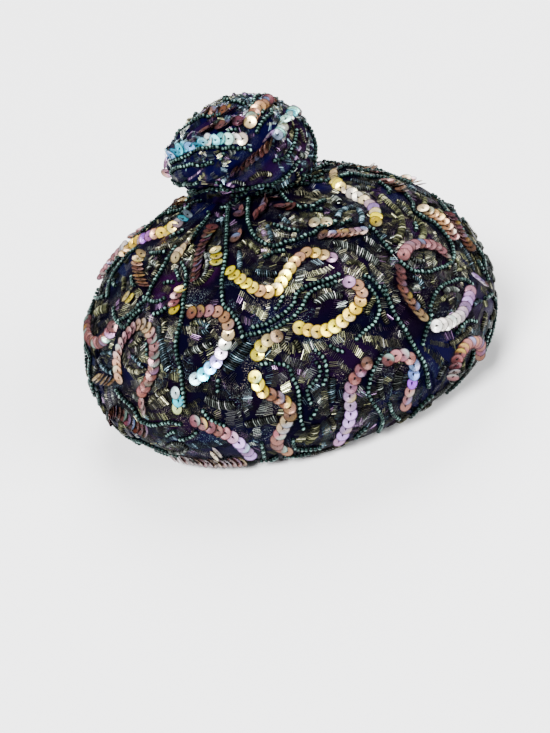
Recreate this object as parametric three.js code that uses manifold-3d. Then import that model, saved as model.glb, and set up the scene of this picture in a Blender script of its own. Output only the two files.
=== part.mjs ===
// A domed cocktail hat in dark brocade: a hollow, slightly oval crown that turns under at the rim,
// a fabric-wrapped topknot sewn on its top, and trails of overlapping sequins sewn over both.
// Millimetres, +Z up. The origin is the middle of the plane that the rim rests on, +X is the
// wearer's front, and -Y is the side that faces the viewer.
// "around" is the angle in degrees from -Y towards +X. On the crown, "down" is the distance along
// the cloth from its top towards the rim. On the topknot, "rise" is the angle above its widest line.
import * as THREE from 'three';
import { mergeVertices } from 'three/addons/utils/BufferGeometryUtils.js';
import Module from 'manifold-3d';

const wasm = await Module();
wasm.setup();

const radians = THREE.MathUtils.degToRad;

// Crown
const HALF_LENGTH = 114;        // widest half size, front to back
const OVAL = 0.94;              // side to side size as a share of front to back
const CROWN_HEIGHT = 112;
const WIDEST_HEIGHT = 31;       // height of the widest line above the rim
const RIM_HALF_LENGTH = 92;     // where the cloth meets the resting plane
const HEM_WIDTH = 4;            // flat turned-in edge
const WALL = 3;                 // buckram with brocade over it
const SEAT_RADIUS = 14;         // flat seat of the topknot
const TOP_TURN = radians(40);   // turn of the shallow arc that comes before the shoulder's
const CROWN_SIDES = 90;
const OUTER_STEPS = [7, 6, 5];  // steps along the top, shoulder and under arcs
const INNER_STEPS = [5, 4, 3];

// Gathers of the cloth round the topknot, as soft ridges: the middle and half width in degrees
// around, the height in millimetres, and how far down the crown each one reaches.
const GATHERS = [
  { around: -171, half: 11, height: 1.3, reach: 78 },
  { around: -146, half: 10, height: 1.6, reach: 92 },
  { around: -121, half: 12, height: 1.2, reach: 70 },
  { around: -98, half: 9, height: 1.5, reach: 84 },
  { around: -77, half: 10, height: 1.7, reach: 96 },
  { around: -55, half: 9, height: 1.3, reach: 88 },
  { around: -36, half: 7, height: 1.8, reach: 104 },
  { around: -22, half: 6, height: 1.6, reach: 96 },
  { around: -8, half: 7, height: 1.4, reach: 70 },
  { around: 9, half: 8, height: 1.5, reach: 62 },
  { around: 30, half: 10, height: 1.2, reach: 74 },
  { around: 54, half: 11, height: 1.4, reach: 66 },
  { around: 80, half: 11, height: 1.6, reach: 86 },
  { around: 105, half: 10, height: 1.3, reach: 72 },
  { around: 127, half: 9, height: 1.7, reach: 98 },
  { around: 149, half: 10, height: 1.4, reach: 80 },
  { around: 169, half: 8, height: 1.5, reach: 90 },
];
const GATHER_START = 26;        // clear of the topknot's base
const GATHER_FULL = 38;

// Topknot
const KNOT_GAP = 0.3;           // it is stitched down on the seat
const KNOT_RADIUS = 37.5;
const KNOT_OVAL = 0.96;
const KNOT_ABOVE = 33;          // from its widest line to its top
const KNOT_BELOW = 26.5;        // and down to where its foot would close
const KNOT_WIDEST = 16;         // height of its widest line above the seat
const KNOT_SHIFT = -3;          // its middle lies this far along X
const KNOT_TILT = radians(12);  // leans towards +X
const KNOT_LEAN = 4.5;          // and its top lies this much further that way
const KNOT_PEAK = 1.72;         // power of its upper outline, where 2 is an ellipse
const KNOT_FOOT = 2.2;          // and of its lower one
const KNOT_SIDES = 40;
const KNOT_RINGS = 18;

// Wraps of cloth round the topknot. Each lies over the next one: it rises over its width in
// degrees and steps down at its edge, whose place around moves by its twist from widest line to top.
const WRAPS = [
  { edge: -20, width: 86, step: 2.2, twist: 78 },
  { edge: 72, width: 92, step: 1.6, twist: 60 },
  { edge: 160, width: 88, step: 2.0, twist: 66 },
  { edge: 251, width: 91, step: 1.8, twist: 62 },
];
const WRAP_EDGE = 7;            // degrees over which a wrap steps down

// Sequin trails
const SEQUIN_WIDTH = 6.5;
const TRAIL_LIFT = 0.5;         // from the cloth to the sequins' backs
const KNOT_TRAIL_LIFT = 1.15;   // more, over the steps of the wraps
const TRAIL_THICKNESS = 1.1;    // of sequins that overlap
const TRAIL_STEP = 4.4;

// Colours
const BROCADE = { color: 0x17142e, roughness: 0.62, metalness: 0.3 };
const TINTS = {
  gold: { color: 0xe6c877, roughness: 0.25, metalness: 0.55 },
  rose: { color: 0xb0737a, roughness: 0.3, metalness: 0.5 },
  opal: { color: 0xc7bfe0, roughness: 0.2, metalness: 0.5 },
};

// Trails on the near half of the crown, by name, as points [around, down] that each one passes
// through. The far half has the same trails, turned by half a turn.
const CROWN_TRAILS = {
  wave: { tint: 'gold',
    via: [[-17, 78], [-12, 86], [-7, 93], [-2, 95], [3, 88], [8, 82], [13, 81], [19, 89]] },
  hook: { tint: 'gold', via: [[18, 101], [21, 107], [19, 113], [13, 118], [7, 120], [1, 114]] },
  link: { tint: 'gold', via: [[-3, 116], [-8, 119], [-10, 125]] },
  tail: { tint: 'rose',
    via: [[-11, 131], [-10, 139], [-6, 145], [-5, 152], [-8, 160], [-10, 168], [-8, 176]] },
  curl: { tint: 'opal',
    via: [[-29, 100], [-23, 99], [-18, 102], [-16, 108], [-17, 116], [-21, 125], [-27, 132]] },
  leaf: { tint: 'rose',
    via: [[-52, 136], [-53, 126], [-51, 115], [-46, 106], [-41, 109], [-38, 118], [-39, 129], [-43, 139]] },
  sweep: { tint: 'rose', via: [[-29, 150], [-25, 154], [-20, 160], [-18, 168], [-18, 177]] },
  drip: { tint: 'opal', via: [[16, 139], [11, 145], [9, 153], [8, 162], [6, 172], [4, 179]] },
  arch: { tint: 'rose', via: [[19, 142], [24, 143], [26, 149], [25, 156], [23, 163], [22, 171]] },
  slat: { tint: 'rose', via: [[35, 106], [32, 115], [32, 124], [33, 133]] },
  twig: { tint: 'rose', via: [[20, 73], [27, 77], [35, 82]] },
  scarf: { tint: 'gold', via: [[84, 41], [62, 45], [53, 56], [52, 67], [47, 76], [41, 81]] },
  cuff: { tint: 'rose', via: [[-58, 109], [-60, 117], [-66, 122], [-74, 122], [-81, 117]] },
  brow: { tint: 'rose', via: [[-63, 164], [-59, 156], [-54, 153], [-49, 158], [-44, 160]] },
  ribbon: { tint: 'opal', via: [[-68, 39], [-62, 45], [-64, 51], [-72, 58], [-79, 65], [-86, 69]] },
  knuckle: { tint: 'rose', via: [[-69, 70], [-64, 77], [-56, 83], [-49, 88]] },
  bridge: { tint: 'rose', via: [[38, 103], [43, 101], [48, 104], [52, 110], [52, 116]] },
  crescent: { tint: 'opal', via: [[35, 138], [40, 141], [46, 141], [53, 135]] },
  horseshoe: { tint: 'rose', via: [[38, 170], [39, 160], [44, 156], [50, 162], [51, 171]] },
  splinter: { tint: 'rose', via: [[66, 90], [66, 100], [64, 107], [62, 113]] },
};
const HALVES = [{ name: 'near', turn: 0 }, { name: 'far', turn: 180 }];

// Trails on the topknot, by name, as points [around, rise]
const KNOT_TRAILS = {
  band: { tint: 'opal',
    via: [[-84, -20], [-92, -8], [-87, 3], [-70, 11], [-51, 21], [-35, 28], [-17, 30], [-2, 30]] },
  sash: { tint: 'opal', via: [[14, 27], [26, 35], [41, 43], [71, 49], [92, 46]] },
  crest: { tint: 'rose', via: [[0, 43], [6, 53], [22, 63], [60, 70]] },
  back_band: { tint: 'rose', via: [[112, 12], [140, 27], [168, 33], [196, 24]] },
};

// The crown's outline below its seat: a shallow top arc, a shoulder arc down to the widest line
// and an arc that turns under to the rim. "from" is the cloth's slope where the arc starts.
function crownArcs() {
  const sine = Math.sin(TOP_TURN);
  const cosine = Math.cos(TOP_TURN);
  const across = HALF_LENGTH - SEAT_RADIUS;
  const fall = CROWN_HEIGHT - WIDEST_HEIGHT;
  const share = 1 - sine - cosine;
  const underTurn = 2 * Math.atan2(HALF_LENGTH - RIM_HALF_LENGTH, WIDEST_HEIGHT);
  return [
    { radius: (fall * (1 - sine) - cosine * across) / share, from: 0, turn: TOP_TURN },
    { radius: ((1 - cosine) * across - sine * fall) / share, from: TOP_TURN, turn: Math.PI / 2 - TOP_TURN },
    { radius: WIDEST_HEIGHT / Math.sin(underTurn), from: Math.PI / 2, turn: underTurn },
  ];
}
const ARCS = crownArcs();

// Radius, height and slope of the outline at a distance down the cloth.
function outlineAt(down) {
  const place = { radius: Math.min(down, SEAT_RADIUS), height: CROWN_HEIGHT, slope: 0 };
  let left = Math.max(down - SEAT_RADIUS, 0);
  for (const { radius, from, turn } of ARCS) {
    const part = Math.min(left / radius, turn);
    place.radius += radius * (Math.sin(from + part) - Math.sin(from));
    place.height += radius * (Math.cos(from + part) - Math.cos(from));
    place.slope += part;
    left = Math.max(left - radius * turn, 0);
  }
  return place;
}

// The difference of two angles in degrees, from -180 to 180.
function degreesApart(a, b) {
  return THREE.MathUtils.euclideanModulo(a - b + 180, 360) - 180;
}

// Height of the gathers above the plain crown.
function gatherHeight(around, down) {
  const start = THREE.MathUtils.smoothstep(down, GATHER_START, GATHER_FULL);
  let height = 0;
  for (const gather of GATHERS) {
    const across = degreesApart(around, gather.around) / gather.half;
    if (Math.abs(across) < 1) {
      const fade = 1 - THREE.MathUtils.smoothstep(down, GATHER_FULL, gather.reach);
      height += gather.height * start * fade * (1 - across * across) ** 2;
    }
  }
  return height;
}

// A point on the crown's cloth, or "lift" millimetres out from it.
function crownAt(around, down, lift = 0) {
  const { radius, height, slope } = outlineAt(down);
  const out = lift + gatherHeight(around, down);
  const reach = radius + out * Math.sin(slope);
  return new THREE.Vector3(
    reach * Math.sin(radians(around)),
    -OVAL * reach * Math.cos(radians(around)),
    height + out * Math.cos(slope),
  );
}

// Height of the wraps above the plain topknot: a slow rise and a quick step down at each edge.
function wrapHeight(around, rise) {
  const level = Math.sin(radians(rise));
  const fade = Math.cos(radians(rise));
  let height = 0;
  for (const wrap of WRAPS) {
    const behind = degreesApart(wrap.edge + wrap.twist * level, around) / wrap.width;
    if (behind >= 0 && behind < 1) height = Math.max(height, wrap.step * (1 - behind));
    const past = -behind * wrap.width / WRAP_EDGE;
    if (past > 0 && past < 1) height = Math.max(height, wrap.step * (1 - past));
  }
  return height * fade;
}

// A point on the topknot, or "lift" millimetres out from it.
function knotAt(around, rise, lift = 0) {
  const level = Math.sin(radians(rise));
  const ring = Math.cos(radians(rise));
  const power = level > 0 ? KNOT_PEAK : KNOT_FOOT;
  const bulge = (Math.abs(ring) ** power + Math.abs(level) ** power) ** (-1 / power);
  const extra = lift + wrapHeight(around, rise);
  const reach = ring * (KNOT_RADIUS * bulge + extra);
  const up = level * ((level > 0 ? KNOT_ABOVE : KNOT_BELOW) * bulge + extra);
  const point = new THREE.Vector3(
    reach * Math.sin(radians(around)) + KNOT_LEAN * up / KNOT_ABOVE,
    -KNOT_OVAL * reach * Math.cos(radians(around)),
    up,
  );
  const middle = new THREE.Vector3(KNOT_SHIFT, 0, CROWN_HEIGHT + KNOT_GAP + KNOT_WIDEST);
  return point.applyAxisAngle(new THREE.Vector3(0, 1, 0), KNOT_TILT).add(middle);
}

// A mesh of triangles whose shared corners are merged, ready for a boolean or for a node.
function merged(geometry) {
  geometry.deleteAttribute('normal');
  geometry.deleteAttribute('uv');
  return mergeVertices(geometry, 1e-4);
}

function toSolid(geometry) {
  return new wasm.Manifold(new wasm.Mesh({
    numProp: 3,
    vertProperties: new Float32Array(geometry.attributes.position.array),
    triVerts: new Uint32Array(geometry.index.array),
  }));
}

function fromSolid(solid) {
  const { vertProperties, triVerts } = solid.getMesh();
  return new THREE.BufferGeometry()
    .setAttribute('position', new THREE.BufferAttribute(vertProperties, 3))
    .setIndex(new THREE.BufferAttribute(triVerts, 1));
}

function namedMesh(name, geometry, finish) {
  const solid = geometry.clone();
  solid.computeVertexNormals();
  const mesh = new THREE.Mesh(solid, new THREE.MeshStandardMaterial(finish));
  mesh.name = name;
  return mesh;
}

// Distances down the cloth at which the crown has a ring, with the given steps along each arc.
function ringsDown(steps) {
  const rings = [SEAT_RADIUS];
  let start = SEAT_RADIUS;
  ARCS.forEach(({ radius, turn }, k) => {
    for (let i = 1; i <= steps[k]; i++) rings.push(start + radius * turn * i / steps[k]);
    start += radius * turn;
  });
  return rings;
}

// The crown is turned from its closed outline, outer side down, hem, inner side up, and each
// corner then moves out by the gathers. The oval comes last, so the hem stays flat.
function crown() {
  const corners = [{ radius: 0, height: CROWN_HEIGHT }];
  for (const down of ringsDown(OUTER_STEPS)) corners.push({ ...outlineAt(down), down });
  const hemEdge = RIM_HALF_LENGTH - HEM_WIDTH;
  corners.push({ radius: hemEdge, height: 0 }, { radius: hemEdge, height: WALL });
  for (const down of ringsDown(INNER_STEPS).reverse()) {
    const { radius, height, slope } = outlineAt(down);
    corners.push({ radius: radius - WALL * Math.sin(slope), height: height - WALL * Math.cos(slope) });
  }
  corners.push({ radius: 0, height: CROWN_HEIGHT - WALL });

  const outline = corners.map(({ radius, height }) => new THREE.Vector2(radius, height)).reverse();
  const geometry = new THREE.LatheGeometry(outline, CROWN_SIDES).rotateX(Math.PI / 2);
  const position = geometry.attributes.position;
  for (let i = 0; i < position.count; i++) {
    const around = 360 * Math.floor(i / corners.length) / CROWN_SIDES;
    const { down } = corners[corners.length - 1 - i % corners.length];
    if (down) position.setXYZ(i, ...crownAt(around % 360, down).toArray());
    else position.setY(i, position.getY(i) * OVAL);
  }
  return namedMesh('crown', merged(geometry), BROCADE);
}

// The topknot is one stuffed body, cut flat where it sits on the crown.
function topknot() {
  const geometry = new THREE.SphereGeometry(1, KNOT_SIDES, KNOT_RINGS);
  const position = geometry.attributes.position;
  for (let i = 0; i < position.count; i++) {
    const column = i % (KNOT_SIDES + 1);
    const around = 360 * (column % KNOT_SIDES) / KNOT_SIDES;
    const rise = 90 - 180 * Math.floor(i / (KNOT_SIDES + 1)) / KNOT_RINGS;
    position.setXYZ(i, ...knotAt(around, rise).toArray());
  }
  const below = new THREE.BoxGeometry(4 * KNOT_RADIUS, 4 * KNOT_RADIUS, KNOT_RADIUS);
  below.translate(KNOT_SHIFT, 0, CROWN_HEIGHT + KNOT_GAP - KNOT_RADIUS / 2);
  const cut = toSolid(merged(geometry)).subtract(toSolid(merged(below)));
  return namedMesh('topknot', fromSolid(cut), BROCADE);
}

// A route over one of the two surfaces, through points that are given in that surface's own angles
// and distances.
class SurfaceRoute extends THREE.Curve {
  constructor(surface, lift, via, turn = 0) {
    super();
    this.surface = surface;
    this.lift = lift;
    this.chart = new THREE.SplineCurve(via.map(([around, along]) => new THREE.Vector2(around + turn, along)));
  }

  getPoint(t) {
    const { x: around, y: along } = this.chart.getPoint(t);
    return this.surface(around, along, this.lift);
  }
}

// The four corners of a trail's section at a share of its length. Each corner lies over the cloth
// at its own place, so the trail follows the gathers.
function trailSection(route, share) {
  const t = route.getUtoTmapping(share);
  const { x: around, y: along } = route.chart.getPoint(t);
  const here = route.surface(around, along);
  const byAround = route.surface(around + 1, along).sub(here);
  const byAlong = route.surface(around, along + 1).sub(here);
  const out = route.surface(around, along, 1).sub(here).normalize();
  const side = route.getTangent(t).cross(out).normalize();
  const corner = (offset, lift) => route.surface(
    around + offset * side.dot(byAround) / byAround.lengthSq(),
    along + offset * side.dot(byAlong) / byAlong.lengthSq(),
    lift,
  );
  const half = SEQUIN_WIDTH / 2;
  return [
    corner(-half, route.lift),
    corner(half, route.lift),
    corner(half, route.lift + TRAIL_THICKNESS),
    corner(-half, route.lift + TRAIL_THICKNESS),
  ];
}

// A trail of overlapping sequins, as one band that lies over the cloth.
function sequinTrail(name, tint, route) {
  const steps = Math.ceil(route.getLength() / TRAIL_STEP);
  const corners = [];
  for (let i = 0; i <= steps; i++) corners.push(...trailSection(route, i / steps));
  const faces = [0, 1, 2, 0, 2, 3];
  for (let i = 0; i < steps; i++) {
    for (let k = 0; k < 4; k++) {
      const a = 4 * i + k;
      const b = 4 * i + (k + 1) % 4;
      faces.push(a, a + 4, b, b, a + 4, b + 4);
    }
  }
  const last = 4 * steps;
  faces.push(last, last + 2, last + 1, last, last + 3, last + 2);
  const geometry = new THREE.BufferGeometry().setFromPoints(corners).setIndex(faces);
  return namedMesh(name, geometry, TINTS[tint]);
}

const hat = new THREE.Group();
hat.add(crown(), topknot());
for (const half of HALVES) {
  for (const [name, { tint, via }] of Object.entries(CROWN_TRAILS)) {
    const route = new SurfaceRoute(crownAt, TRAIL_LIFT, via, half.turn);
    hat.add(sequinTrail(`sequins_${half.name}_${name}`, tint, route));
  }
}
for (const [name, { tint, via }] of Object.entries(KNOT_TRAILS)) {
  hat.add(sequinTrail(`sequins_knot_${name}`, tint, new SurfaceRoute(knotAt, KNOT_TRAIL_LIFT, via)));
}

export default hat;
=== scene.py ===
"""Looks of the sequin hat: a gathered brocade crown with a wrapped topknot, sewn over with sequins,
seed beads and wound metallic cord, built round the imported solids.

Sizes are millimetres until a mesh is made, which is in metres. The origin is the middle of the
rim's plane, +Z is up, +X is the wearer's front and -Y is the side that faces the viewer.
Places on the crown are (around, down): degrees from -Y towards +X, and millimetres along the cloth
from its top. Places on the topknot are (around, rise), with rise in degrees above its widest line.
"""
import math

import bpy
import numpy as np
from mathutils import Matrix, Vector
from mathutils.kdtree import KDTree


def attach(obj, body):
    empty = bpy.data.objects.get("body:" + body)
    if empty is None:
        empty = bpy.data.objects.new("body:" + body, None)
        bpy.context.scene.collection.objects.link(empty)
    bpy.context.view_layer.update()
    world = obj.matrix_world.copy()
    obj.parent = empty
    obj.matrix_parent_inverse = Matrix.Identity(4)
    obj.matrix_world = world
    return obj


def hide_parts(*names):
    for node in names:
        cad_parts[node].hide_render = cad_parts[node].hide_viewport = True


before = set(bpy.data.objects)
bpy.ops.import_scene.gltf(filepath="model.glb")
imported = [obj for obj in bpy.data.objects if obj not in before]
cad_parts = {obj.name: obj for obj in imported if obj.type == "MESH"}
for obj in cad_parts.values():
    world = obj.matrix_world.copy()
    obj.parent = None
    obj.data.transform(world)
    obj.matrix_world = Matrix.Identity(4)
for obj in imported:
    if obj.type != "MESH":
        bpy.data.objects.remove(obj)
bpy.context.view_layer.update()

MM = 0.001
DEPTH = 0.55            # how much the colours are deepened for the studio light
SEED = 7
rng = np.random.default_rng(SEED)

# Crown, as in the part's source
HALF_LENGTH = 114.0
OVAL = 0.94
CROWN_HEIGHT = 112.0
WIDEST_HEIGHT = 31.0
RIM_HALF_LENGTH = 92.0
HEM_WIDTH = 4.0
SEAT_RADIUS = 14.0
TOP_TURN = math.radians(40)
GATHER_START = 26.0
GATHER_FULL = 38.0
# around, half width in degrees, height, how far down it reaches
GATHERS = [
    (-171, 11, 1.3, 78), (-146, 10, 1.6, 92), (-121, 12, 1.2, 70), (-98, 9, 1.5, 84),
    (-77, 10, 1.7, 96), (-55, 9, 1.3, 88), (-36, 7, 1.8, 104), (-22, 6, 1.6, 96),
    (-8, 7, 1.4, 70), (9, 8, 1.5, 62), (30, 10, 1.2, 74), (54, 11, 1.4, 66),
    (80, 11, 1.6, 86), (105, 10, 1.3, 72), (127, 9, 1.7, 98), (149, 10, 1.4, 80),
    (169, 8, 1.5, 90),
]

# Topknot, as in the part's source
KNOT_GAP = 0.3
KNOT_RADIUS = 37.5
KNOT_OVAL = 0.96
KNOT_ABOVE = 33.0
KNOT_BELOW = 26.5
KNOT_WIDEST = 16.0
KNOT_SHIFT = -3.0
KNOT_TILT = math.radians(12)
KNOT_LEAN = 4.5
KNOT_PEAK = 1.72
KNOT_FOOT = 2.2
# edge, width and twist in degrees, step in millimetres
WRAPS = [(-20, 86, 78, 2.2), (72, 92, 60, 1.6), (160, 88, 66, 2.0), (251, 91, 62, 1.8)]
WRAP_EDGE = 5.0

# Cloth
CROWN_SIDES = 240
CROWN_RINGS = 84
BROCADE_THICK = 1.4
LINING_GAP = 0.15
LINING_THICK = 1.2
LINING_SIDES = 120
LINING_RINGS = 44
LINING_SHORT = 1.7      # how far above the rim it ends
# Heights over the crown, and how far down each starts, is full, starts to fade and is gone
COLLAR, COLLAR_RANGE = 2.6, (15, 24, 26, 40)        # cloth gathered in round the topknot
CREASES, CREASE_RANGE = 0.6, (16, 30, 45, 120)      # fine creases that run down from the topknot
PUFFS, PUFF_RANGE = 0.55, (40, 70, 175, 192)        # unevenness that the embroidery gives
KNOT_SIDES = 180
KNOT_RINGS = 110
FOOT_PULL = 0.24        # share by which the topknot is drawn in at its foot
FOOT_RANGE = (4, 34)    # degrees below its widest line
FOLD_TWIST = 66         # degrees by which the folds turn on their way up
FOLDS, FOLD_HEIGHT = 13, 0.8
FINE_FOLDS, FINE_FOLD_HEIGHT = 29, 0.45
SMOOTH_CLOTH = math.radians(50)
SMOOTH_KNOT = math.radians(60)

# Sewn-on things
SEQUIN_WIDTH = 6.5
SEQUIN_HOLE = 0.95
SEQUIN_SIDES = 16
SEQUIN_THICK = 0.14
SEQUIN_CUP = 0.4
SEQUIN_SINK = 1.0       # how far a steep one is tucked into the cloth
SEQUIN_LIFT = 0.25      # how far a row lies off the crown
KNOT_LIFT = 0.6         # and off the topknot
KNOT_SCRAP_LIFT = 0.4
SEQUIN_SLACK = (0.25, 0.15)     # how far one may be off its place, across and along
SEQUIN_ASKEW = (3, 6, 5)        # degrees of pitch, roll and yaw
SEQUIN_UNEVEN = (0.42, 0.02)    # how much its colour varies, as a share of it and besides
SEQUIN_SHADES = (0.004, 1.7)    # darkest and brightest
SHEEN_SLOPE, SHEEN_MOST = 1.3, 0.6      # painted iridescent sheen: how a second colour grows towards one side
COVERED_PAINTED_SHADOW = 0.75     # painted shadow: how much darker the end under the next one is made
BEAD_WIDTH = 2.6
BEAD_PITCH = 1.95
BEAD_LENGTH = 1.8
BEAD_RING, BEAD_WALL = 0.31, 0.19       # radii of its ring and its glass, as shares of its width
BEAD_RISE = 0.85
BEAD_SLACK = (0.15, 0.12)       # across and out
BEAD_ASKEW = (10, 14)           # degrees of pitch and yaw
WIDE_BEAD = 1.1         # how much larger the beads of the main strings are
CORD_PITCH = 1.0
CORD_THREAD = 0.40
CORD_SLANT = 16         # degrees by which its turns lie askew
CORD_RISE = 0.1
CORD_SLACK = (0.15, 0.06)       # across and out
CORE_PITCH = 1.6
CORE_SIZE = (1.9, 0.86, 1.1)    # the core's length, share of the cord's width, and height
# One turn of a cord's thread, for a cord one millimetre wide: across and up
RIB_ARCH = [(-0.5, 0), (-0.2, 0.8), (0.2, 0.8), (0.5, 0)]
RIB_RADIUS, RIB_FLAT = 0.55, 0.4
STITCH_LENGTH = 2.9
STITCH_THICK = 0.30
STITCH_SLANT = 1.25     # radians between a band's way and its stitches
STITCH_GAP = 0.2        # to what else is sewn on
HOLDING_STITCH = (1.7, 0.6, 0.3)        # size of the one that holds a sequin
BAND_LENGTH = 22        # of a satin band on the crown
BAND_STITCHES = 26      # in one satin band
PAINTED_GLEAMS_PER_BAND = 1.7       # painted glints: bright stretches along one band
BAND_BEND = 0.06        # radians for each millimetre, at most
BAND_WANDER = 0.25      # radians by which a band leaves the flow
BAND_CROWDING = 0.62    # under one, bands are closer together further down
# Painted shade that makes the threads darker towards the crown's rim and at its sides: how much, from
# where, and where it is full
RIM_PAINTED_SHADE = (0.75, 112, 165)     # millimetres down the crown
SIDE_PAINTED_SHADE = (0.62, 34, 76)      # degrees to either side
# Painted glints: a random brightness for each turn or stitch of metallic thread
PAINTED_GLINT, PAINTED_GLINT_SPREAD, PAINTED_GLINT_RANGE = -0.7, 1.15, (0.02, 4.0)
BRIGHTEST_THREAD = 1.7
KNOT_SHINE = 1.5        # how much brighter the topknot's stitches are
LOWEST = 0.15           # nothing sewn on reaches lower, as the hat rests on its rim

# How routes are followed
ROUTE_STEPS = 40        # points for each charted one
ARC_STEPS = 7           # in each filling arc
ARC_BEND = (0.03, 0.14)         # radians for each millimetre
ARC_WANDER = 0.4        # radians by which an arc leaves the flow
CHART_STEP = 0.4        # step by which a surface's slope is taken
LOOK_AHEAD = 0.5
CHECK_PITCH = 2.0       # between the points that others keep clear of

# Colours of the cloths, threads and glass
BLACK = (0, 0, 0)
NAVY_BLACK, WINE_BLACK = (0.0003, 0.0003, 0.0024), (0.0012, 0.0002, 0.0018)
NAVY, WINE = (0.0009, 0.0005, 0.0125), (0.011, 0.0008, 0.014)
COOL_LUREX, WARM_LUREX = (0.10, 0.16, 0.18), (0.24, 0.21, 0.17)
BROCADE_SHEEN = (0.22, 0.10, 0.95)
INNER_DARK, INNER_LIGHT = (0.010, 0.009, 0.014), (0.019, 0.017, 0.026)
# PAINTED_EDGE_DARK: the painted shadow at a sequin's rim, also used round its hole
PEARL, PAINTED_EDGE_DARK = (0.60, 0.50, 0.62), (0.004, 0.002, 0.004)
# PAINTED_BEAD_HIGHLIGHT is the pale mint highlight painted on each bead's outward side
GLASS_DARK, GLASS_SHEEN, PAINTED_BEAD_HIGHLIGHT = (0.002, 0.004, 0.006), (0.60, 1.0, 0.90), (0.46, 0.86, 0.76)
GLASS = [(0.0012, 0.0045, 0.0045), (0.0008, 0.0026, 0.0040), (0.0020, 0.0080, 0.0066)]
SEWING_THREAD = (0.002, 0.002, 0.004)
CORD_CORE = (0.001, 0.001, 0.0015)
# Metallic threads: gold, straw, silver, pewter and violet
THREADS = np.array([
    (0.50, 0.52, 0.26), (0.62, 0.60, 0.38), (0.52, 0.60, 0.54), (0.22, 0.36, 0.44), (0.34, 0.19, 0.38),
])
WARM_THREADS = [0, 0, 0, 1, 1, 1, 2, 2, 4]
COLD_THREADS = [2, 3, 3, 4]
CROWN_CORDS = (0, 1, 2, 3)
KNOT_CORDS = (1, 2, 3, 3, 4)


# Surfaces
def smoothstep(value, low, high):
    share = np.clip((value - low) / (high - low), 0, 1)
    return share * share * (3 - 2 * share)


def degrees_apart(a, b):
    return (a - b + 180) % 360 - 180


def swell(value, low, full, fading, gone):
    return smoothstep(value, low, full) * (1 - smoothstep(value, fading, gone))


def crown_arcs():
    """Radius, first slope and turn of each arc of the outline, from the top to the rim."""
    sine, cosine = math.sin(TOP_TURN), math.cos(TOP_TURN)
    across = HALF_LENGTH - SEAT_RADIUS
    fall = CROWN_HEIGHT - WIDEST_HEIGHT
    share = 1 - sine - cosine
    under = 2 * math.atan2(HALF_LENGTH - RIM_HALF_LENGTH, WIDEST_HEIGHT)
    return [
        ((fall * (1 - sine) - cosine * across) / share, 0.0, TOP_TURN),
        (((1 - cosine) * across - sine * fall) / share, TOP_TURN, math.pi / 2 - TOP_TURN),
        (WIDEST_HEIGHT / math.sin(under), math.pi / 2, under),
    ]


ARCS = crown_arcs()
DOWN_TO_RIM = SEAT_RADIUS + sum(radius * turn for radius, _, turn in ARCS)


def outline_at(down):
    """Radius, height and slope of the crown's outline."""
    down = np.asarray(down, float)
    radius = np.minimum(down, SEAT_RADIUS)
    height = np.full_like(radius, CROWN_HEIGHT)
    slope = np.zeros_like(radius)
    left = np.maximum(down - SEAT_RADIUS, 0)
    for arc, start, turn in ARCS:
        part = np.minimum(left / arc, turn)
        radius = radius + arc * (np.sin(start + part) - math.sin(start))
        height = height + arc * (np.cos(start + part) - math.cos(start))
        slope = slope + part
        left = np.maximum(left - arc * turn, 0)
    return radius, height, slope


def gather_height(around, down):
    """The soft gathers that spread down from the topknot."""
    start = smoothstep(down, GATHER_START, GATHER_FULL)
    height = 0 * around
    for middle, half, top, reach in GATHERS:
        across = degrees_apart(around, middle) / half
        fade = 1 - smoothstep(down, GATHER_FULL, reach)
        height = height + np.where(np.abs(across) < 1, top * start * fade * (1 - across ** 2) ** 2, 0)
    return height


def crease_height(around, down):
    """Fine creases between the gathers, the unevenness of the quilted cloth, and the collar."""
    turn = np.radians(around)
    fine = np.sin(41 * turn + 0.05 * down) + 0.6 * np.sin(67 * turn - 0.09 * down + 1.3)
    puff = np.sin(7 * turn + down / 9.0) * np.sin(down / 7.0 - 5 * turn)
    return (COLLAR * swell(down, *COLLAR_RANGE) + CREASES / 2 * fine * swell(down, *CREASE_RANGE)
            + PUFFS * puff * swell(down, *PUFF_RANGE))


def lining_at(around, down, lift=0.0):
    """A point lift millimetres off the crown's plain outline."""
    radius, height, slope = outline_at(down)
    reach = radius + lift * np.sin(slope)
    turn = np.radians(around)
    return np.stack([
        reach * np.sin(turn), -OVAL * reach * np.cos(turn), height + lift * np.cos(slope),
    ], axis=-1)


def crown_at(around, down, lift=0.0):
    """A point lift millimetres off the gathered and creased cloth."""
    around, down = np.asarray(around, float), np.asarray(down, float)
    return lining_at(around, down, lift + gather_height(around, down) + crease_height(around, down))


def wrap_height(around, rise):
    """The steps where one wrap of cloth lies over the next."""
    level, fade = np.sin(np.radians(rise)), np.cos(np.radians(rise))
    height = 0 * around
    for edge, width, twist, step in WRAPS:
        behind = degrees_apart(edge + twist * level, around) / width
        over = np.where((behind >= 0) & (behind < 1), step * (1 - behind), 0)
        past = -behind * width / WRAP_EDGE
        drop = np.where((past > 0) & (past < 1), step * (1 - past), 0)
        height = np.maximum(height, np.maximum(over, drop))
    return height * fade


def fold_height(around, rise):
    """Slack folds that follow the twist of the wraps."""
    level, fade = np.sin(np.radians(rise)), np.cos(np.radians(rise))
    turn = np.radians(around - FOLD_TWIST * level)
    broad = FOLD_HEIGHT * np.sin(FOLDS * turn + 1.0) * np.cos(2.2 * level)
    return fade * (broad + FINE_FOLD_HEIGHT * np.sin(FINE_FOLDS * turn + 4 * level))


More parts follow.
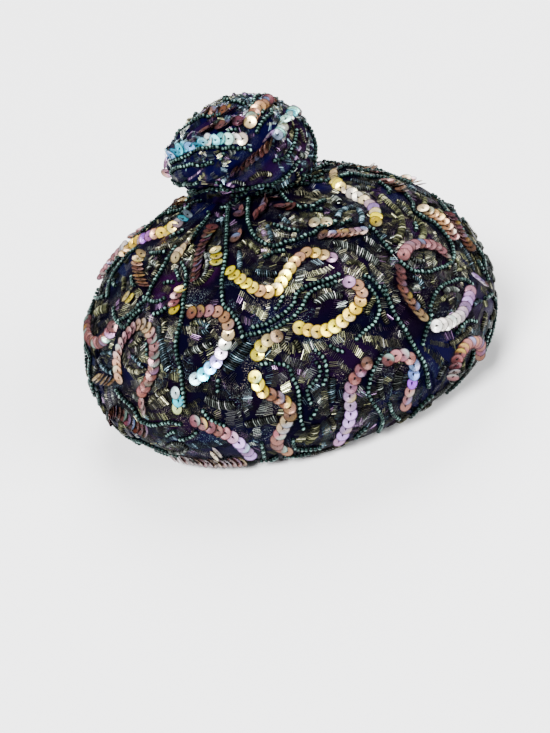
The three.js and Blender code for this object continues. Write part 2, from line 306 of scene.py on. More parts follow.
def knot_at(around, rise, lift=0.0):
    around, rise = np.asarray(around, float), np.asarray(rise, float)
    level, ring = np.sin(np.radians(rise)), np.cos(np.radians(rise))
    power = np.where(level > 0, KNOT_PEAK, KNOT_FOOT)
    bulge = (np.abs(ring) ** power + np.abs(level) ** power) ** (-1 / power)
    extra = lift + wrap_height(around, rise) + fold_height(around, rise)
    foot = 1 - FOOT_PULL * smoothstep(-rise, *FOOT_RANGE)
    reach = ring * (KNOT_RADIUS * bulge * foot + extra)
    up = level * (np.where(level > 0, KNOT_ABOVE, KNOT_BELOW) * bulge + extra)
    turn = np.radians(around)
    x = reach * np.sin(turn) + KNOT_LEAN * up / KNOT_ABOVE
    y = -KNOT_OVAL * reach * np.cos(turn)
    cosine, sine = math.cos(KNOT_TILT), math.sin(KNOT_TILT)
    return np.stack([
        x * cosine + up * sine + KNOT_SHIFT,
        y,
        -x * sine + up * cosine + CROWN_HEIGHT + KNOT_GAP + KNOT_WIDEST,
    ], axis=-1)


# Routes
def spline(via, count):
    """Points of a smooth curve through via, evenly spaced in its own parameter."""
    via = np.asarray(via, float)
    place = np.linspace(0, len(via) - 1, count)
    first = np.minimum(place.astype(int), len(via) - 2)
    t = (place - first)[:, None]
    last = len(via) - 1
    p0, p1 = via[np.maximum(first - 1, 0)], via[first]
    p2, p3 = via[np.minimum(first + 1, last)], via[np.minimum(first + 2, last)]
    v0, v1 = (p2 - p0) / 2, (p3 - p1) / 2
    cubic = 2 * p1 - 2 * p2 + v0 + v1
    square = 3 * p2 - 3 * p1 - 2 * v0 - v1
    return cubic * t ** 3 + square * t ** 2 + v0 * t + p1


def unit(vectors):
    return vectors / np.maximum(np.linalg.norm(vectors, axis=-1, keepdims=True), 1e-9)


def surface_frame(at, around, along):
    """Point, outward normal, and the two chart directions of a surface."""
    point = at(around, along)
    by_around = at(around + CHART_STEP, along) - at(around - CHART_STEP, along)
    by_along = at(around, along + CHART_STEP) - at(around, along - CHART_STEP)
    out = unit(np.cross(by_along, by_around))
    away = at(around, along, 1.0) - point
    out = np.where((out * away).sum(-1, keepdims=True) < 0, -out, out)
    return point, out, by_around / (2 * CHART_STEP), by_along / (2 * CHART_STEP)


def column(values, count):
    return np.broadcast_to(values, count).reshape(-1, 1)


class Places:
    """Where copies go: middles, and the directions along, across and out at each."""

    def __init__(self, middle, along, out, share):
        self.middle, self.out, self.share = middle, out, share
        self.along = unit(along - out * (along * out).sum(-1, keepdims=True))
        self.across = np.cross(out, self.along)

    def __len__(self):
        return len(self.middle)

    def part(self, keep):
        return Places(self.middle[keep], self.along[keep], self.out[keep], self.share[keep])

    def moved(self, along=0.0, across=0.0, out=0.0):
        along, across, out = (column(amount, len(self)) for amount in (along, across, out))
        middle = self.middle + along * self.along + across * self.across + out * self.out
        return Places(middle, self.along, self.out, self.share)

    def tilted(self, pitch=0.0, roll=0.0, yaw=0.0):
        """Turned in degrees: pitch lifts the front, roll lifts a side, yaw turns over the cloth."""
        pitch, roll, yaw = (np.radians(column(angle, len(self))) for angle in (pitch, roll, yaw))
        along = np.cos(yaw) * self.along + np.sin(yaw) * self.across
        across = np.cross(self.out, along)
        lifted = np.cos(pitch) * along + np.sin(pitch) * self.out
        out = np.cross(lifted, across)
        out = np.cos(roll) * out + np.sin(roll) * across
        return Places(self.middle, lifted, unit(out), self.share)


def along_route(at, via, pitch, turn=0.0):
    """Places every pitch millimetres along a route, turned by some degrees round the hat."""
    chart = spline(via, ROUTE_STEPS * len(via)) + [turn, 0]
    points = at(chart[:, 0], chart[:, 1])
    length = np.concatenate([[0], np.cumsum(np.linalg.norm(np.diff(points, axis=0), axis=1))])
    count = max(int(length[-1] / pitch), 1)
    at_length = (np.arange(count) + 0.5) * length[-1] / count

    def chart_at(place):
        return [np.interp(place, length, chart[:, k]) for k in (0, 1)]

    middle, out, _, _ = surface_frame(at, *chart_at(at_length))
    path = at(*chart_at(at_length + LOOK_AHEAD)) - at(*chart_at(at_length - LOOK_AHEAD))
    return Places(middle, path, out, at_length / length[-1])


# Models and copies
def deselect():
    if bpy.context.object and bpy.context.object.mode != "OBJECT":
        bpy.ops.object.mode_set(mode="OBJECT")
    bpy.ops.object.select_all(action="DESELECT")


def named(name):
    piece = bpy.context.object
    piece.name = name
    piece.data.name = name
    return piece


def apply_modifier(piece, kind, **settings):
    modifier = piece.modifiers.new(kind.lower(), kind)
    for key, value in settings.items():
        setattr(modifier, key, value)
    bpy.context.view_layer.objects.active = piece
    bpy.ops.object.modifier_apply(modifier=modifier.name)


def apply_place(piece):
    deselect()
    piece.select_set(True)
    bpy.context.view_layer.objects.active = piece
    bpy.ops.object.transform_apply(location=True, rotation=True, scale=True)


def edit_all():
    bpy.ops.object.mode_set(mode="EDIT")
    bpy.ops.mesh.select_all(action="SELECT")


def face_outward():
    """Turn all faces outward, and leave edit mode."""
    bpy.ops.mesh.select_all(action="SELECT")
    bpy.ops.mesh.normals_make_consistent(inside=False)
    bpy.ops.object.mode_set(mode="OBJECT")


class Model:
    """A small shape that was modelled once, in millimetres, ready to be copied into a joined mesh."""

    def __init__(self, piece):
        mesh = piece.data
        self.points = np.empty(3 * len(mesh.vertices))
        mesh.vertices.foreach_get("co", self.points)
        self.points = self.points.reshape(-1, 3) / MM
        self.edge = np.hypot(self.points[:, 0], self.points[:, 1])
        self.edge = (self.edge - self.edge.min()) / max(np.ptp(self.edge), 1e-6)
        self.corners = np.empty(len(mesh.loops), int)
        mesh.loops.foreach_get("vertex_index", self.corners)
        self.starts = np.empty(len(mesh.polygons), int)
        mesh.polygons.foreach_get("loop_start", self.starts)
        self.smooth = np.empty(len(mesh.polygons), bool)
        mesh.polygons.foreach_get("use_smooth", self.smooth)
        bpy.data.objects.remove(piece)
        bpy.data.meshes.remove(mesh)


def placed(model, places, sizes):
    """Points of a copy of the model at each place, lifted where one would reach below the rim."""
    shape = model.points[None] * np.broadcast_to(sizes, (len(places), 3))[:, None]
    points = (places.middle[:, None] + shape[..., :1] * places.along[:, None]
              + shape[..., 1:2] * places.across[:, None] + shape[..., 2:] * places.out[:, None])
    points[..., 2] += np.maximum(LOWEST - points[..., 2].min(1), 0)[:, None]
    return points.reshape(-1, 3)


def copies(name, groups):
    """One joined mesh of models at their places. groups holds (model, places, sizes, tints), where
    sizes scales along, across and out, and tints gives a colour for each copy or each copy's points."""
    points, corners, starts, smooth, tints, edges = [], [], [], [], [], []
    point_count = corner_count = 0
    for model, places, sizes, tint in groups:
        if not len(places):
            continue
        each = len(model.points)
        number = np.arange(len(places))
        points.append(placed(model, places, sizes))
        corners.append((model.corners + point_count + each * number[:, None]).ravel())
        starts.append((model.starts + corner_count + len(model.corners) * number[:, None]).ravel())
        smooth.append(np.tile(model.smooth, len(places)))
        edges.append(np.tile(model.edge, len(places)))
        tint = np.asarray(tint, float)
        if tint.ndim == 1:
            tint = np.broadcast_to(tint, (len(places), 3))
        if tint.ndim == 2:
            tint = np.broadcast_to(tint[:, None], (len(places), each, 3))
        tints.append(tint.reshape(-1, 3))
        point_count += each * len(places)
        corner_count += len(model.corners) * len(places)
    mesh = bpy.data.meshes.new(name)
    points = np.concatenate(points) * MM
    mesh.vertices.add(len(points))
    mesh.vertices.foreach_set("co", points.ravel())
    corners, starts = np.concatenate(corners), np.concatenate(starts)
    mesh.loops.add(len(corners))
    mesh.loops.foreach_set("vertex_index", corners)
    mesh.polygons.add(len(starts))
    mesh.polygons.foreach_set("loop_start", starts)
    mesh.polygons.foreach_set("use_smooth", np.concatenate(smooth))
    mesh.update(calc_edges=True)
    mesh.validate()
    colours = mesh.attributes.new("tint", "FLOAT_COLOR", "POINT")
    tints = np.concatenate(tints) * DEPTH
    colours.data.foreach_set("color", np.column_stack([tints, np.ones(len(tints))]).ravel())
    mesh.attributes.new("edge", "FLOAT", "POINT").data.foreach_set("value", np.concatenate(edges))
    piece = bpy.data.objects.new(name, mesh)
    bpy.context.scene.collection.objects.link(piece)
    return piece


def model_sequin():
    """A thin cupped disc with a hole in its middle."""
    deselect()
    bpy.ops.mesh.primitive_circle_add(vertices=SEQUIN_SIDES, radius=SEQUIN_HOLE / 2 * MM)
    piece = named("sequin")
    edit_all()
    bpy.ops.mesh.extrude_edges_move(TRANSFORM_OT_translate={"value": (0, 0, SEQUIN_CUP * MM)})
    grow = SEQUIN_WIDTH / SEQUIN_HOLE
    bpy.ops.transform.resize(value=(grow, grow, 1), center_override=(0, 0, 0))
    face_outward()
    apply_modifier(piece, "SOLIDIFY", thickness=SEQUIN_THICK * MM, offset=0)
    bpy.ops.object.shade_flat()
    return Model(piece)


def model_bead():
    """A short glass ring with its hole along the string."""
    deselect()
    ring, wall = BEAD_RING * BEAD_WIDTH, BEAD_WALL * BEAD_WIDTH
    bpy.ops.mesh.primitive_torus_add(
        major_segments=8, minor_segments=5, major_radius=ring * MM, minor_radius=wall * MM,
        rotation=(0, math.radians(90), 0))
    piece = named("bead")
    apply_place(piece)
    edit_all()
    bpy.ops.transform.resize(value=(BEAD_LENGTH / (2 * wall), 1, 1), center_override=(0, 0, 0))
    bpy.ops.object.mode_set(mode="OBJECT")
    bpy.ops.object.shade_smooth()
    return Model(piece)


def model_rib():
    """One turn of wound thread, arched over a cord one millimetre wide and one high."""
    deselect()
    bpy.ops.mesh.primitive_circle_add(
        vertices=3, radius=RIB_RADIUS * MM, fill_type="NGON", location=(0, RIB_ARCH[0][0] * MM, 0),
        rotation=(math.radians(90), 0, 0))
    piece = named("rib")
    apply_place(piece)
    edit_all()
    bpy.ops.transform.resize(value=(1, 1, RIB_FLAT), center_override=(0, 0, 0))
    for (side, height), (next_side, next_height) in zip(RIB_ARCH, RIB_ARCH[1:]):
        bpy.ops.mesh.extrude_region_move(TRANSFORM_OT_translate={
            "value": (0, (next_side - side) * MM, (next_height - height) * MM)})
    face_outward()
    bpy.ops.object.shade_smooth_by_angle(angle=SMOOTH_CLOTH)
    return Model(piece)


def model_stitch():
    """A bare straight stitch of thread, one millimetre long and one thick."""
    deselect()
    bpy.ops.mesh.primitive_cylinder_add(
        vertices=3, radius=0.5 * MM, depth=1.0 * MM, rotation=(0, math.radians(90), 0))
    piece = named("stitch")
    apply_place(piece)
    return Model(piece)


# Materials
class Value:
    """A shader socket that takes part in Python expressions."""

    def __init__(self, finish, socket):
        self.finish, self.socket = finish, socket

    def math(self, operation, *others):
        return self.finish.node("ShaderNodeMath", {"operation": operation}, [self, *others])

    def __add__(self, other):
        return self.math("ADD", other)

    def __sub__(self, other):
        return self.math("SUBTRACT", other)

    def __rsub__(self, other):
        return self.finish.node("ShaderNodeMath", {"operation": "SUBTRACT"}, [other, self])

    def __mul__(self, other):
        return self.math("MULTIPLY", other)

    __radd__ = __add__
    __rmul__ = __mul__

    def over(self, low, high):
        """0 below low, 1 above high, smooth between."""
        return self.finish.node(
            "ShaderNodeMapRange", {"interpolation_type": "SMOOTHSTEP"},
            {"Value": self, "From Min": low, "From Max": high})


class Finish:
    """A material and the nodes that feed its surface."""

    def __init__(self, name):
        self.material = bpy.data.materials.new(name)
        self.material.use_nodes = True
        self.tree = self.material.node_tree
        self.shader = self.tree.nodes["Principled BSDF"]

    def node(self, kind, settings=None, inputs=None, output=0):
        made = self.tree.nodes.new(kind)
        for key, value in (settings or {}).items():
            setattr(made, key, value)
        pairs = inputs.items() if isinstance(inputs, dict) else enumerate(inputs or [])
        for key, value in pairs:
            self.feed(made.inputs[key], value)
        return Value(self, made.outputs[output])

    def feed(self, socket, value):
        if isinstance(value, Value):
            self.tree.links.new(value.socket, socket)
        elif isinstance(value, (tuple, list)) and len(value) == 3 and socket.type == "RGBA":
            socket.default_value = (*value, 1)
        else:
            socket.default_value = value

    def surface(self, **inputs):
        for key, value in inputs.items():
            self.feed(self.shader.inputs[key.replace("_", " ")], value)

    def mix(self, share, first, second):
        """Two colours mixed, through the sockets that a Mix node has for colours."""
        return self.node("ShaderNodeMix", {"data_type": "RGBA"}, {0: share, 6: first, 7: second}, output=2)

    def attribute(self, name, output="Color"):
        return self.node("ShaderNodeAttribute", {"attribute_name": name}, output=output)

    def place(self):
        return self.node("ShaderNodeTexCoord", output="Object")

    def cloth_place(self, across, along):
        """The piece's own cloth coordinates, in cells of the given counts."""
        uv = self.node("ShaderNodeTexCoord", output="UV")
        return self.node("ShaderNodeVectorMath", {"operation": "MULTIPLY"}, [uv, (across, along, 1)])

    def noise(self, vector, scale, detail):
        return self.node("ShaderNodeTexNoise", None, {"Vector": vector, "Scale": scale, "Detail": detail})

    def bump(self, height, distance, strength):
        return self.node("ShaderNodeBump", None, {
            "Height": height, "Distance": distance, "Strength": strength})


def brocade():
    """Dark navy and wine brocade with fine metallic threads."""
    finish = Finish("brocade")
    place = finish.place()
    wine = finish.attribute("wine", "Fac")
    drift = finish.noise(place, 38, 2).over(0.42, 0.64)
    ground = finish.mix(drift, NAVY_BLACK, WINE_BLACK)
    ground = finish.mix(finish.attribute("navy", "Fac"), ground, NAVY)
    ground = finish.mix(wine, ground, WINE)
    threads = finish.noise(finish.cloth_place(2600, 480), 1, 1)
    glints = threads.over(0.62, 0.70)
    sparse = finish.noise(place, 95, 1).over(0.47, 0.62)
    warm = finish.noise(place, 60, 1).over(0.40, 0.60)
    lurex = finish.mix(warm, COOL_LUREX, WARM_LUREX)
    metal = glints * sparse * (1 - wine * 0.6)
    weave = finish.noise(finish.cloth_place(900, 900), 1, 1)
    finish.surface(
        Base_Color=finish.mix(metal, ground, lurex),
        Metallic=metal * 0.85,
        Roughness=0.55 - metal * 0.20,
        Normal=finish.bump(weave + threads * 0.7, 0.4 * MM, 0.8),
        Specular_IOR_Level=0.03,
        Specular_Tint=BROCADE_SHEEN,
    )
    return finish.material


def inner_cloth():
    """Plain dark woven cloth."""
    finish = Finish("inner_cloth")
    warp = finish.node("ShaderNodeTexWave", {"bands_direction": "X"}, {
        "Vector": finish.cloth_place(1, 0), "Scale": 260, "Distortion": 0.3})
    weft = finish.node("ShaderNodeTexWave", {"bands_direction": "Y"}, {
        "Vector": finish.cloth_place(0, 1), "Scale": 150, "Distortion": 0.3})
    weave = warp * weft
    shade = finish.noise(finish.place(), 30, 3).over(0.3, 0.7)
    finish.surface(
        Base_Color=finish.mix(shade, INNER_DARK, INNER_LIGHT),
        Roughness=0.85 - weave * 0.1,
        Normal=finish.bump(weave, 0.3 * MM, 0.6),
    )
    return finish.material


def tinted(name, metallic, roughness, mottle):
    """A finish whose colour each copy carries, with a fine variation over it."""
    finish = Finish(name)
    tint = finish.attribute("tint")
    cells = finish.noise(finish.place(), 900, 1)
    finish.surface(
        Base_Color=finish.mix(cells.over(0.35, 0.7) * mottle, tint, finish.mix(0.6, tint, BLACK)),
        Metallic=metallic,
        Roughness=roughness + cells * 0.12,
        Specular_IOR_Level=0.12,
    )
    return finish.material


def sequin_finish(name):
    """Iridescent film: each sequin carries its own colours, with painted shadow at its rim where sequins
    overlap, and darker round its hole.
    """
    finish = Finish(name)
    tint = finish.attribute("tint")
    edge = finish.attribute("edge", "Fac")
    cloud = finish.noise(finish.place(), 420, 2).over(0.35, 0.7)
    pearl = finish.mix(cloud * 0.04, tint, PEARL)
    shade = finish.mix(cloud * 0.30, pearl, finish.mix(0.55, pearl, BLACK))
    # painted shadow along each rim, where sequins overlap; and a dark ring round the hole
    rim_shade = edge.over(0.82, 0.91)
    hole = 1 - edge.over(0.02, 0.10)
    painted_edge_colour = finish.mix(0.86, tint, PAINTED_EDGE_DARK)
    finish.surface(
        Base_Color=finish.mix(rim_shade * 0.9, finish.mix(hole, shade, painted_edge_colour), painted_edge_colour),
        Metallic=0.55 + cloud * 0.2,
        Roughness=0.20 + cloud * 0.14,
        Normal=finish.bump(finish.noise(finish.place(), 700, 2), 0.2 * MM, 0.4),
        Specular_IOR_Level=0.25,
        Coat_Weight=0.03,
        Coat_Roughness=0.12,
    )
    return finish.material


def bead_finish():
    """Opaque near-black teal glass with a mint shine; each bead carries its colours, a painted highlight
    among them.
    """
    finish = Finish("seed_bead")
    tint = finish.attribute("tint")
    swirl = finish.noise(finish.place(), 420, 1)
    finish.surface(
        Base_Color=finish.mix(swirl.over(0.4, 0.7) * 0.4, tint, GLASS_DARK),
        Metallic=0.0,
        Roughness=0.20 + swirl * 0.06,
        Specular_IOR_Level=0.16,
        Specular_Tint=GLASS_SHEEN,
    )
    return finish.material


def floor_finish():
    finish = Finish("studio_floor")
    finish.surface(Base_Color=(0.92, 0.92, 0.93), Roughness=0.9)
    return finish.material


# Charts
# Colours of the sequins
YELLOW, GOLD, PEACH = (1.25, 1.02, 0.0), (0.95, 0.62, 0.02), (0.76, 0.39, 0.18)
CREAM, WHITE, SILVER = (0.90, 0.68, 0.34), (1.30, 1.24, 1.14), (0.32, 0.22, 0.38)
ROSE, DUSTY, TAN = (0.27, 0.095, 0.085), (0.15, 0.048, 0.046), (0.30, 0.145, 0.072)
LILAC, VIOLET, BLUE = (0.62, 0.36, 0.90), (0.24, 0.03, 0.75), (0.22, 0.62, 1.30)
CYAN, MINT, PINK = (0.03, 1.10, 1.35), (0.40, 1.20, 1.00), (0.60, 0.26, 0.29)
PAINTED_SHEEN_COLOURS = np.array([PINK, YELLOW, LILAC, MINT, BLUE, ROSE])     # second colours of the film, painted at one side of each sequin as its iridescent sheen

# Trails of the crown by name: their points, the sequins' pitch, tilt and roll (one roll, or several
# along the trail), and their colours
CROWN_TRAILS = {
    "wave": ([[-17, 78], [-12, 86], [-7, 93], [-2, 95], [3, 88], [8, 82], [13, 81], [19, 89]],
             3.9, 12, 0, [YELLOW, YELLOW, YELLOW, PEACH, GOLD, YELLOW, PEACH, PEACH, GOLD, LILAC]),
    "hook": ([[18, 101], [21, 107], [19, 113], [13, 118], [7, 120], [1, 114]],
             4.0, 10, 0, [LILAC, PEACH, PEACH, GOLD, GOLD, YELLOW, GOLD, GOLD, YELLOW]),
    "link": ([[-3, 116], [-8, 119], [-10, 125]], 4.0, 14, 0, [ROSE, CREAM, YELLOW, YELLOW]),
    "tail": ([[-11, 131], [-10, 139], [-6, 145], [-5, 152], [-8, 160], [-10, 168], [-8, 176]],
             3.5, 16, 0, [YELLOW, YELLOW, ROSE, TAN, TAN, TAN, CREAM, ROSE, DUSTY, ROSE, TAN]),
    "curl": ([[-29, 100], [-23, 99], [-18, 102], [-16, 108], [-17, 116], [-21, 125], [-27, 132]],
             4.2, 11, 0, [ROSE, ROSE, PINK, PEACH, PEACH, CREAM, WHITE, LILAC, BLUE, CYAN, PINK]),
    "leaf": ([[-52, 136], [-53, 126], [-51, 115], [-46, 106], [-41, 109], [-38, 118], [-39, 129],
              [-43, 139]], 3.4, 14, (-8, 6, 0), [PEACH, PEACH, PINK, PINK, CREAM, PINK, ROSE, ROSE, ROSE]),
    "sweep": ([[-29, 150], [-25, 154], [-20, 160], [-18, 168], [-18, 177]],
              3.6, 14, 10, [ROSE, PINK, ROSE, PINK, LILAC, SILVER, LILAC]),
    "drip": ([[16, 139], [11, 145], [9, 153], [8, 162], [6, 172], [4, 179]],
             4.2, 14, 0, [ROSE, DUSTY, ROSE, SILVER, SILVER, LILAC, SILVER, LILAC, ROSE]),
    "arch": ([[19, 142], [24, 143], [26, 149], [25, 156], [23, 163], [22, 171]],
             3.9, 14, 0, [ROSE, ROSE, PINK, ROSE, BLUE, VIOLET, ROSE, ROSE, TAN]),
    "slat": ([[35, 106], [32, 115], [32, 124], [33, 133]], 2.9, 24, 16, [DUSTY, ROSE, TAN, TAN, CREAM]),
    "twig": ([[20, 73], [27, 77], [35, 82]], 2.9, 24, 12, [DUSTY, ROSE, TAN, ROSE]),
    "scarf": ([[84, 41], [62, 45], [53, 56], [52, 67], [47, 76], [41, 81]],
              3.6, -14, (-34, -44, -4),
              [PEACH, CREAM, CREAM, YELLOW, CREAM, WHITE, CREAM, LILAC, YELLOW, GOLD]),
    "cuff": ([[-58, 109], [-60, 117], [-66, 122], [-74, 122], [-81, 117]],
             3.0, 20, (42, 0, -30), [DUSTY, ROSE, ROSE, DUSTY]),
    "brow": ([[-63, 164], [-59, 156], [-54, 153], [-49, 158], [-44, 160]],
             3.0, 20, 30, [DUSTY, ROSE, DUSTY, DUSTY]),
    "ribbon": ([[-68, 39], [-62, 45], [-64, 51], [-72, 58], [-79, 65], [-86, 69]],
               3.9, 14, (60, 40, 34), [PINK, CYAN, PINK, YELLOW, GOLD, PINK, VIOLET, PEACH, TAN]),
    "knuckle": ([[-69, 70], [-64, 77], [-56, 83], [-49, 88]], 3.2, 24, 50, [CREAM, TAN, PEACH, ROSE]),
    "bridge": ([[38, 103], [43, 101], [48, 104], [52, 110], [52, 116]],
               3.2, 24, 7, [ROSE, PINK, ROSE, PINK, ROSE]),
    "crescent": ([[35, 138], [40, 141], [46, 141], [53, 135]],
                 3.2, 26, (0, 16, 26), [WHITE, WHITE, WHITE, SILVER, LILAC, PINK]),
    "horseshoe": ([[38, 170], [39, 160], [44, 156], [50, 162], [51, 171]],
                  3.0, 30, (45, 0, -30), [DUSTY, ROSE, ROSE, DUSTY]),
    "splinter": ([[66, 90], [66, 100], [64, 107], [62, 113]],
                 3.0, 30, (-12, -26, -26), [CREAM, PEACH, PEACH, PINK]),
}
# Scraps of one to four sequins, and thin rows seen on edge
CROWN_SCRAPS = [
    ([[-32, 135], [-31.5, 141], [-32.5, 146]], 3.6, 14, -12, [WHITE, CYAN, YELLOW]),
    ([[20, 62], [24, 65], [28.5, 67]], 4.0, 12, 0, [CREAM, CREAM]),
    ([[-64.5, 138.5], [-59, 138], [-54, 137]], 3.6, 20, 45, [CREAM, TAN]),
    ([[-42.5, 71], [-41.5, 63.5], [-37.5, 58]], 2.6, 20, 0, [CREAM, CREAM, TAN]),
    ([[-33, 86], [-34.5, 93.5], [-33, 99.5]], 3.2, 26, -5, [YELLOW, PINK, ROSE, YELLOW]),
    ([[-59, 94], [-56.5, 94.6], [-54, 95]], 3.0, 12, 10, [CREAM, YELLOW]),
    ([[-103, 82], [-105, 90], [-103, 98], [-100, 106]], 3.2, 20, 34, [WHITE, PINK, PINK, PINK]),
    ([[-84, 66], [-86, 74], [-84, 80]], 3.6, 20, 42, [GOLD, TAN]),
    ([[-22.5, 65], [-21.7, 70], [-21, 76]], 3.0, 20, 18, [CREAM, YELLOW, YELLOW]),
    ([[-32.5, 47.5], [-31.5, 60], [-30, 73], [-29, 83]], 2.8, 22, -22, [DUSTY, ROSE, DUSTY]),
    ([[58, 132], [62.5, 141]], 3.2, 20, 28, [LILAC, ROSE]),
    ([[79.5, 66.5], [79, 73], [71.5, 79.5]], 2.8, 22, (18, -26, -20), [ROSE, TAN]),
    ([[74, 104], [70.5, 111], [67.5, 117], [66.5, 124]], 2.6, 24, -14, [DUSTY, ROSE, DUSTY]),
    ([[104, 87], [101.5, 92], [96.5, 95]], 3.0, 24, -30, [TAN, PEACH, DUSTY]),
    ([[-43, 141.5], [-42.5, 148]], 2.6, 22, -20, [ROSE, DUSTY]),
    ([[-28, 174], [-26, 171], [-24.5, 168]], 3.0, 16, 34, [CREAM, WHITE]),
    ([[-45, 182], [-33, 182.5], [-20.5, 180.5]], 2.7, 20, 24, [ROSE, DUSTY, ROSE]),
    ([[-4, 46], [0.5, 40], [7, 34.5], [13.5, 36]], 2.7, 24, 30, [ROSE, DUSTY, ROSE]),
    ([[-18.5, 42], [-13.5, 35]], 2.7, 24, 34, [DUSTY, ROSE]),
    ([[-16.5, 60.5], [-11, 57]], 2.8, 24, 9, [ROSE, TAN]),
    ([[10, 42], [20, 47]], 2.7, 24, 7, [ROSE, DUSTY]),
]
# The same for the topknot
KNOT_TRAILS = {
    "band": ([[-84, -20], [-92, -8], [-87, 3], [-70, 11], [-51, 21], [-35, 28], [-17, 30], [-2, 30]],
             3.4, 14, (0, -40, -58, -56, -50, -44, -36, -22),
             [PINK, LILAC, PINK, LILAC, BLUE, CYAN, BLUE, CYAN, CYAN, BLUE, CYAN, WHITE, CYAN, MINT,
              WHITE, CREAM]),
    "sash": ([[14, 27], [26, 35], [41, 43], [71, 49], [92, 46]],
             2.5, 18, (56, 50, 32, -4), [TAN, LILAC, MINT, WHITE, MINT, WHITE, CYAN, MINT, WHITE, PINK]),
    "crest": ([[0, 43], [6, 53], [22, 63], [60, 70]],
              2.7, 22, (4, -14, -5), [CREAM, TAN, PEACH, TAN, ROSE, TAN]),
    "back_band": ([[112, 12], [140, 27], [168, 33], [196, 24]], 3.6, 14, 0, [ROSE, PINK, ROSE, TAN]),
}
KNOT_SCRAPS = [
    ([[18, 28], [8, 20], [-3, 12], [-12, 6]], 2.6, 24, 12, [TAN, ROSE, DUSTY, DUSTY]),
    ([[-49, 36], [-32.5, 42], [-13.5, 47.5], [-4, 46]], 2.6, 24, (38, 26, 8), [DUSTY, DUSTY, DUSTY]),
    ([[-66.5, 52.5], [-48.5, 57.5], [-22, 60]], 2.7, 24, (-20, -4, 24), [DUSTY, TAN, DUSTY]),
]

# Strings of seed beads, and the main strings with wider beads
SINGLE_STRINGS = [
    [[20, 27.5], [21, 34], [22, 39], [23, 44], [23.7, 49], [25.5, 51], [29, 52.5], [33, 52], [39.5, 51]],
    [[16, 100], [13, 100.2], [9.5, 100], [6.8, 101.7], [5, 105], [2, 109.2], [-1, 111.2], [-4, 113],
     [-8, 113.5], [-12, 113.5]],
    [[23.5, 102], [25, 105], [26, 111], [26.5, 115.5]],
    [[23, 107.5], [23.7, 112.5], [23, 119], [20.5, 124], [17, 126], [14, 128.7]],
    [[19.5, 138.5], [16.5, 143], [14, 150.5], [13.5, 155.5], [15, 165], [16, 170.5], [16, 177],
     [15.5, 184]],
    [[-9.5, 127.5], [-6.5, 128], [-3, 131], [-2.5, 136.5], [-2, 142.5], [-2.5, 149], [-3, 156], [-3, 162]],
    [[-6, 166], [-6.3, 173], [-4.6, 177], [0, 179]],
    [[3.5, 131.5], [4, 136.5], [2.5, 140], [0, 143.5], [0, 151]],
    [[-13.5, 165], [-14, 172], [-15, 180]],
    [[-17, 183], [-14, 184], [-11.5, 180]],
    [[-25.5, 145], [-24.5, 149.5], [-22.5, 152.5], [-20.5, 154.5]],
    [[-20, 131], [-20.5, 134.5], [-20.5, 138]],
    [[-38, 72], [-35, 76], [-33.5, 80], [-32.4, 84], [-31.3, 93], [-30.8, 100], [-31.5, 110],
     [-31.5, 116], [-31, 121], [-30.2, 127], [-29.8, 136], [-30, 144]],
    [[-46.8, 62], [-46.8, 67], [-46.6, 76], [-47, 86], [-46.5, 93], [-49, 97], [-51, 101],
     [-54, 104], [-57, 107]],
    [[-76, 70], [-79, 74], [-80, 78], [-80, 88], [-77, 92], [-73, 96], [-70, 99]],
    [[-83, 106], [-79, 104], [-73, 100]],
    [[-63, 101], [-60.5, 105], [-56.5, 108], [-52.5, 109], [-51, 105.5], [-49.5, 102], [-47, 99]],
    [[-48.5, 92.5], [-44.5, 94], [-40.5, 94], [-38.5, 91.5]],
    [[-46, 35], [-40, 42], [-38.5, 48], [-40, 52], [-42, 57]],
    [[-83.5, 134.5], [-76, 131.5], [-71, 132.5], [-72, 140], [-71, 143.5], [-76, 152.5], [-74, 157]],
    [[-65, 147], [-66, 152], [-69, 158]],
    [[-39, 154], [-36, 152], [-34, 152.5], [-32, 153]],
    [[76, 46.5], [80, 54.5], [84, 62], [86, 69], [83, 73.5], [76, 77.5], [71.5, 81], [67.5, 85.5],
     [63.5, 87.5], [62, 91.5], [62, 96.5], [62, 102], [61, 107.5], [60, 112], [58, 115.5],
     [55.5, 118], [52.5, 119], [49.5, 118.5], [46, 117], [42.5, 115.5], [40, 113], [38, 110.5],
     [37, 107], [36.5, 103.5]],
    [[83, 100], [76, 104.5], [74.5, 111.5], [71, 118.5], [71.5, 127], [72.5, 134.5], [69, 138],
     [67, 143.5]],
    [[43.5, 124.5], [46.5, 125.5], [50.5, 127.5], [53.5, 130.5], [55, 135]],
    [[43.5, 124.5], [40.5, 125.5], [38.5, 127.5], [36.5, 130], [35.5, 133.5], [33.5, 137],
     [32, 139.5], [30, 144]],
    [[59, 146], [62, 148], [65, 149]],
    [[50, 29], [66, 33], [84, 39], [100, 48], [110, 60], [112, 72]],
    [[62, 26], [82, 30], [102, 37], [122, 48]],
    [[36, 27], [52, 35], [68, 41], [79, 50]],
    [[96, 56], [98, 66], [97, 78], [94, 88]],
    [[-72, 27], [-84, 36], [-95, 47], [-101, 60]],
    [[-100, 60], [-98, 72], [-94, 84], [-92, 96]],
    [[-90, 104], [-88, 112], [-90, 120]],
    [[-86, 112], [-80, 120], [-84, 128], [-88, 140], [-84, 150]],
    [[-86, 158], [-80, 166], [-74, 172], [-66, 176], [-58, 180]],
    [[-56, 172], [-50, 170], [-46, 174], [-40, 178]],
    [[66, 152], [70, 160], [68, 170], [60, 178]],
    [[59, 163], [56.5, 165.5], [56.5, 170.5], [56.5, 174]],
]
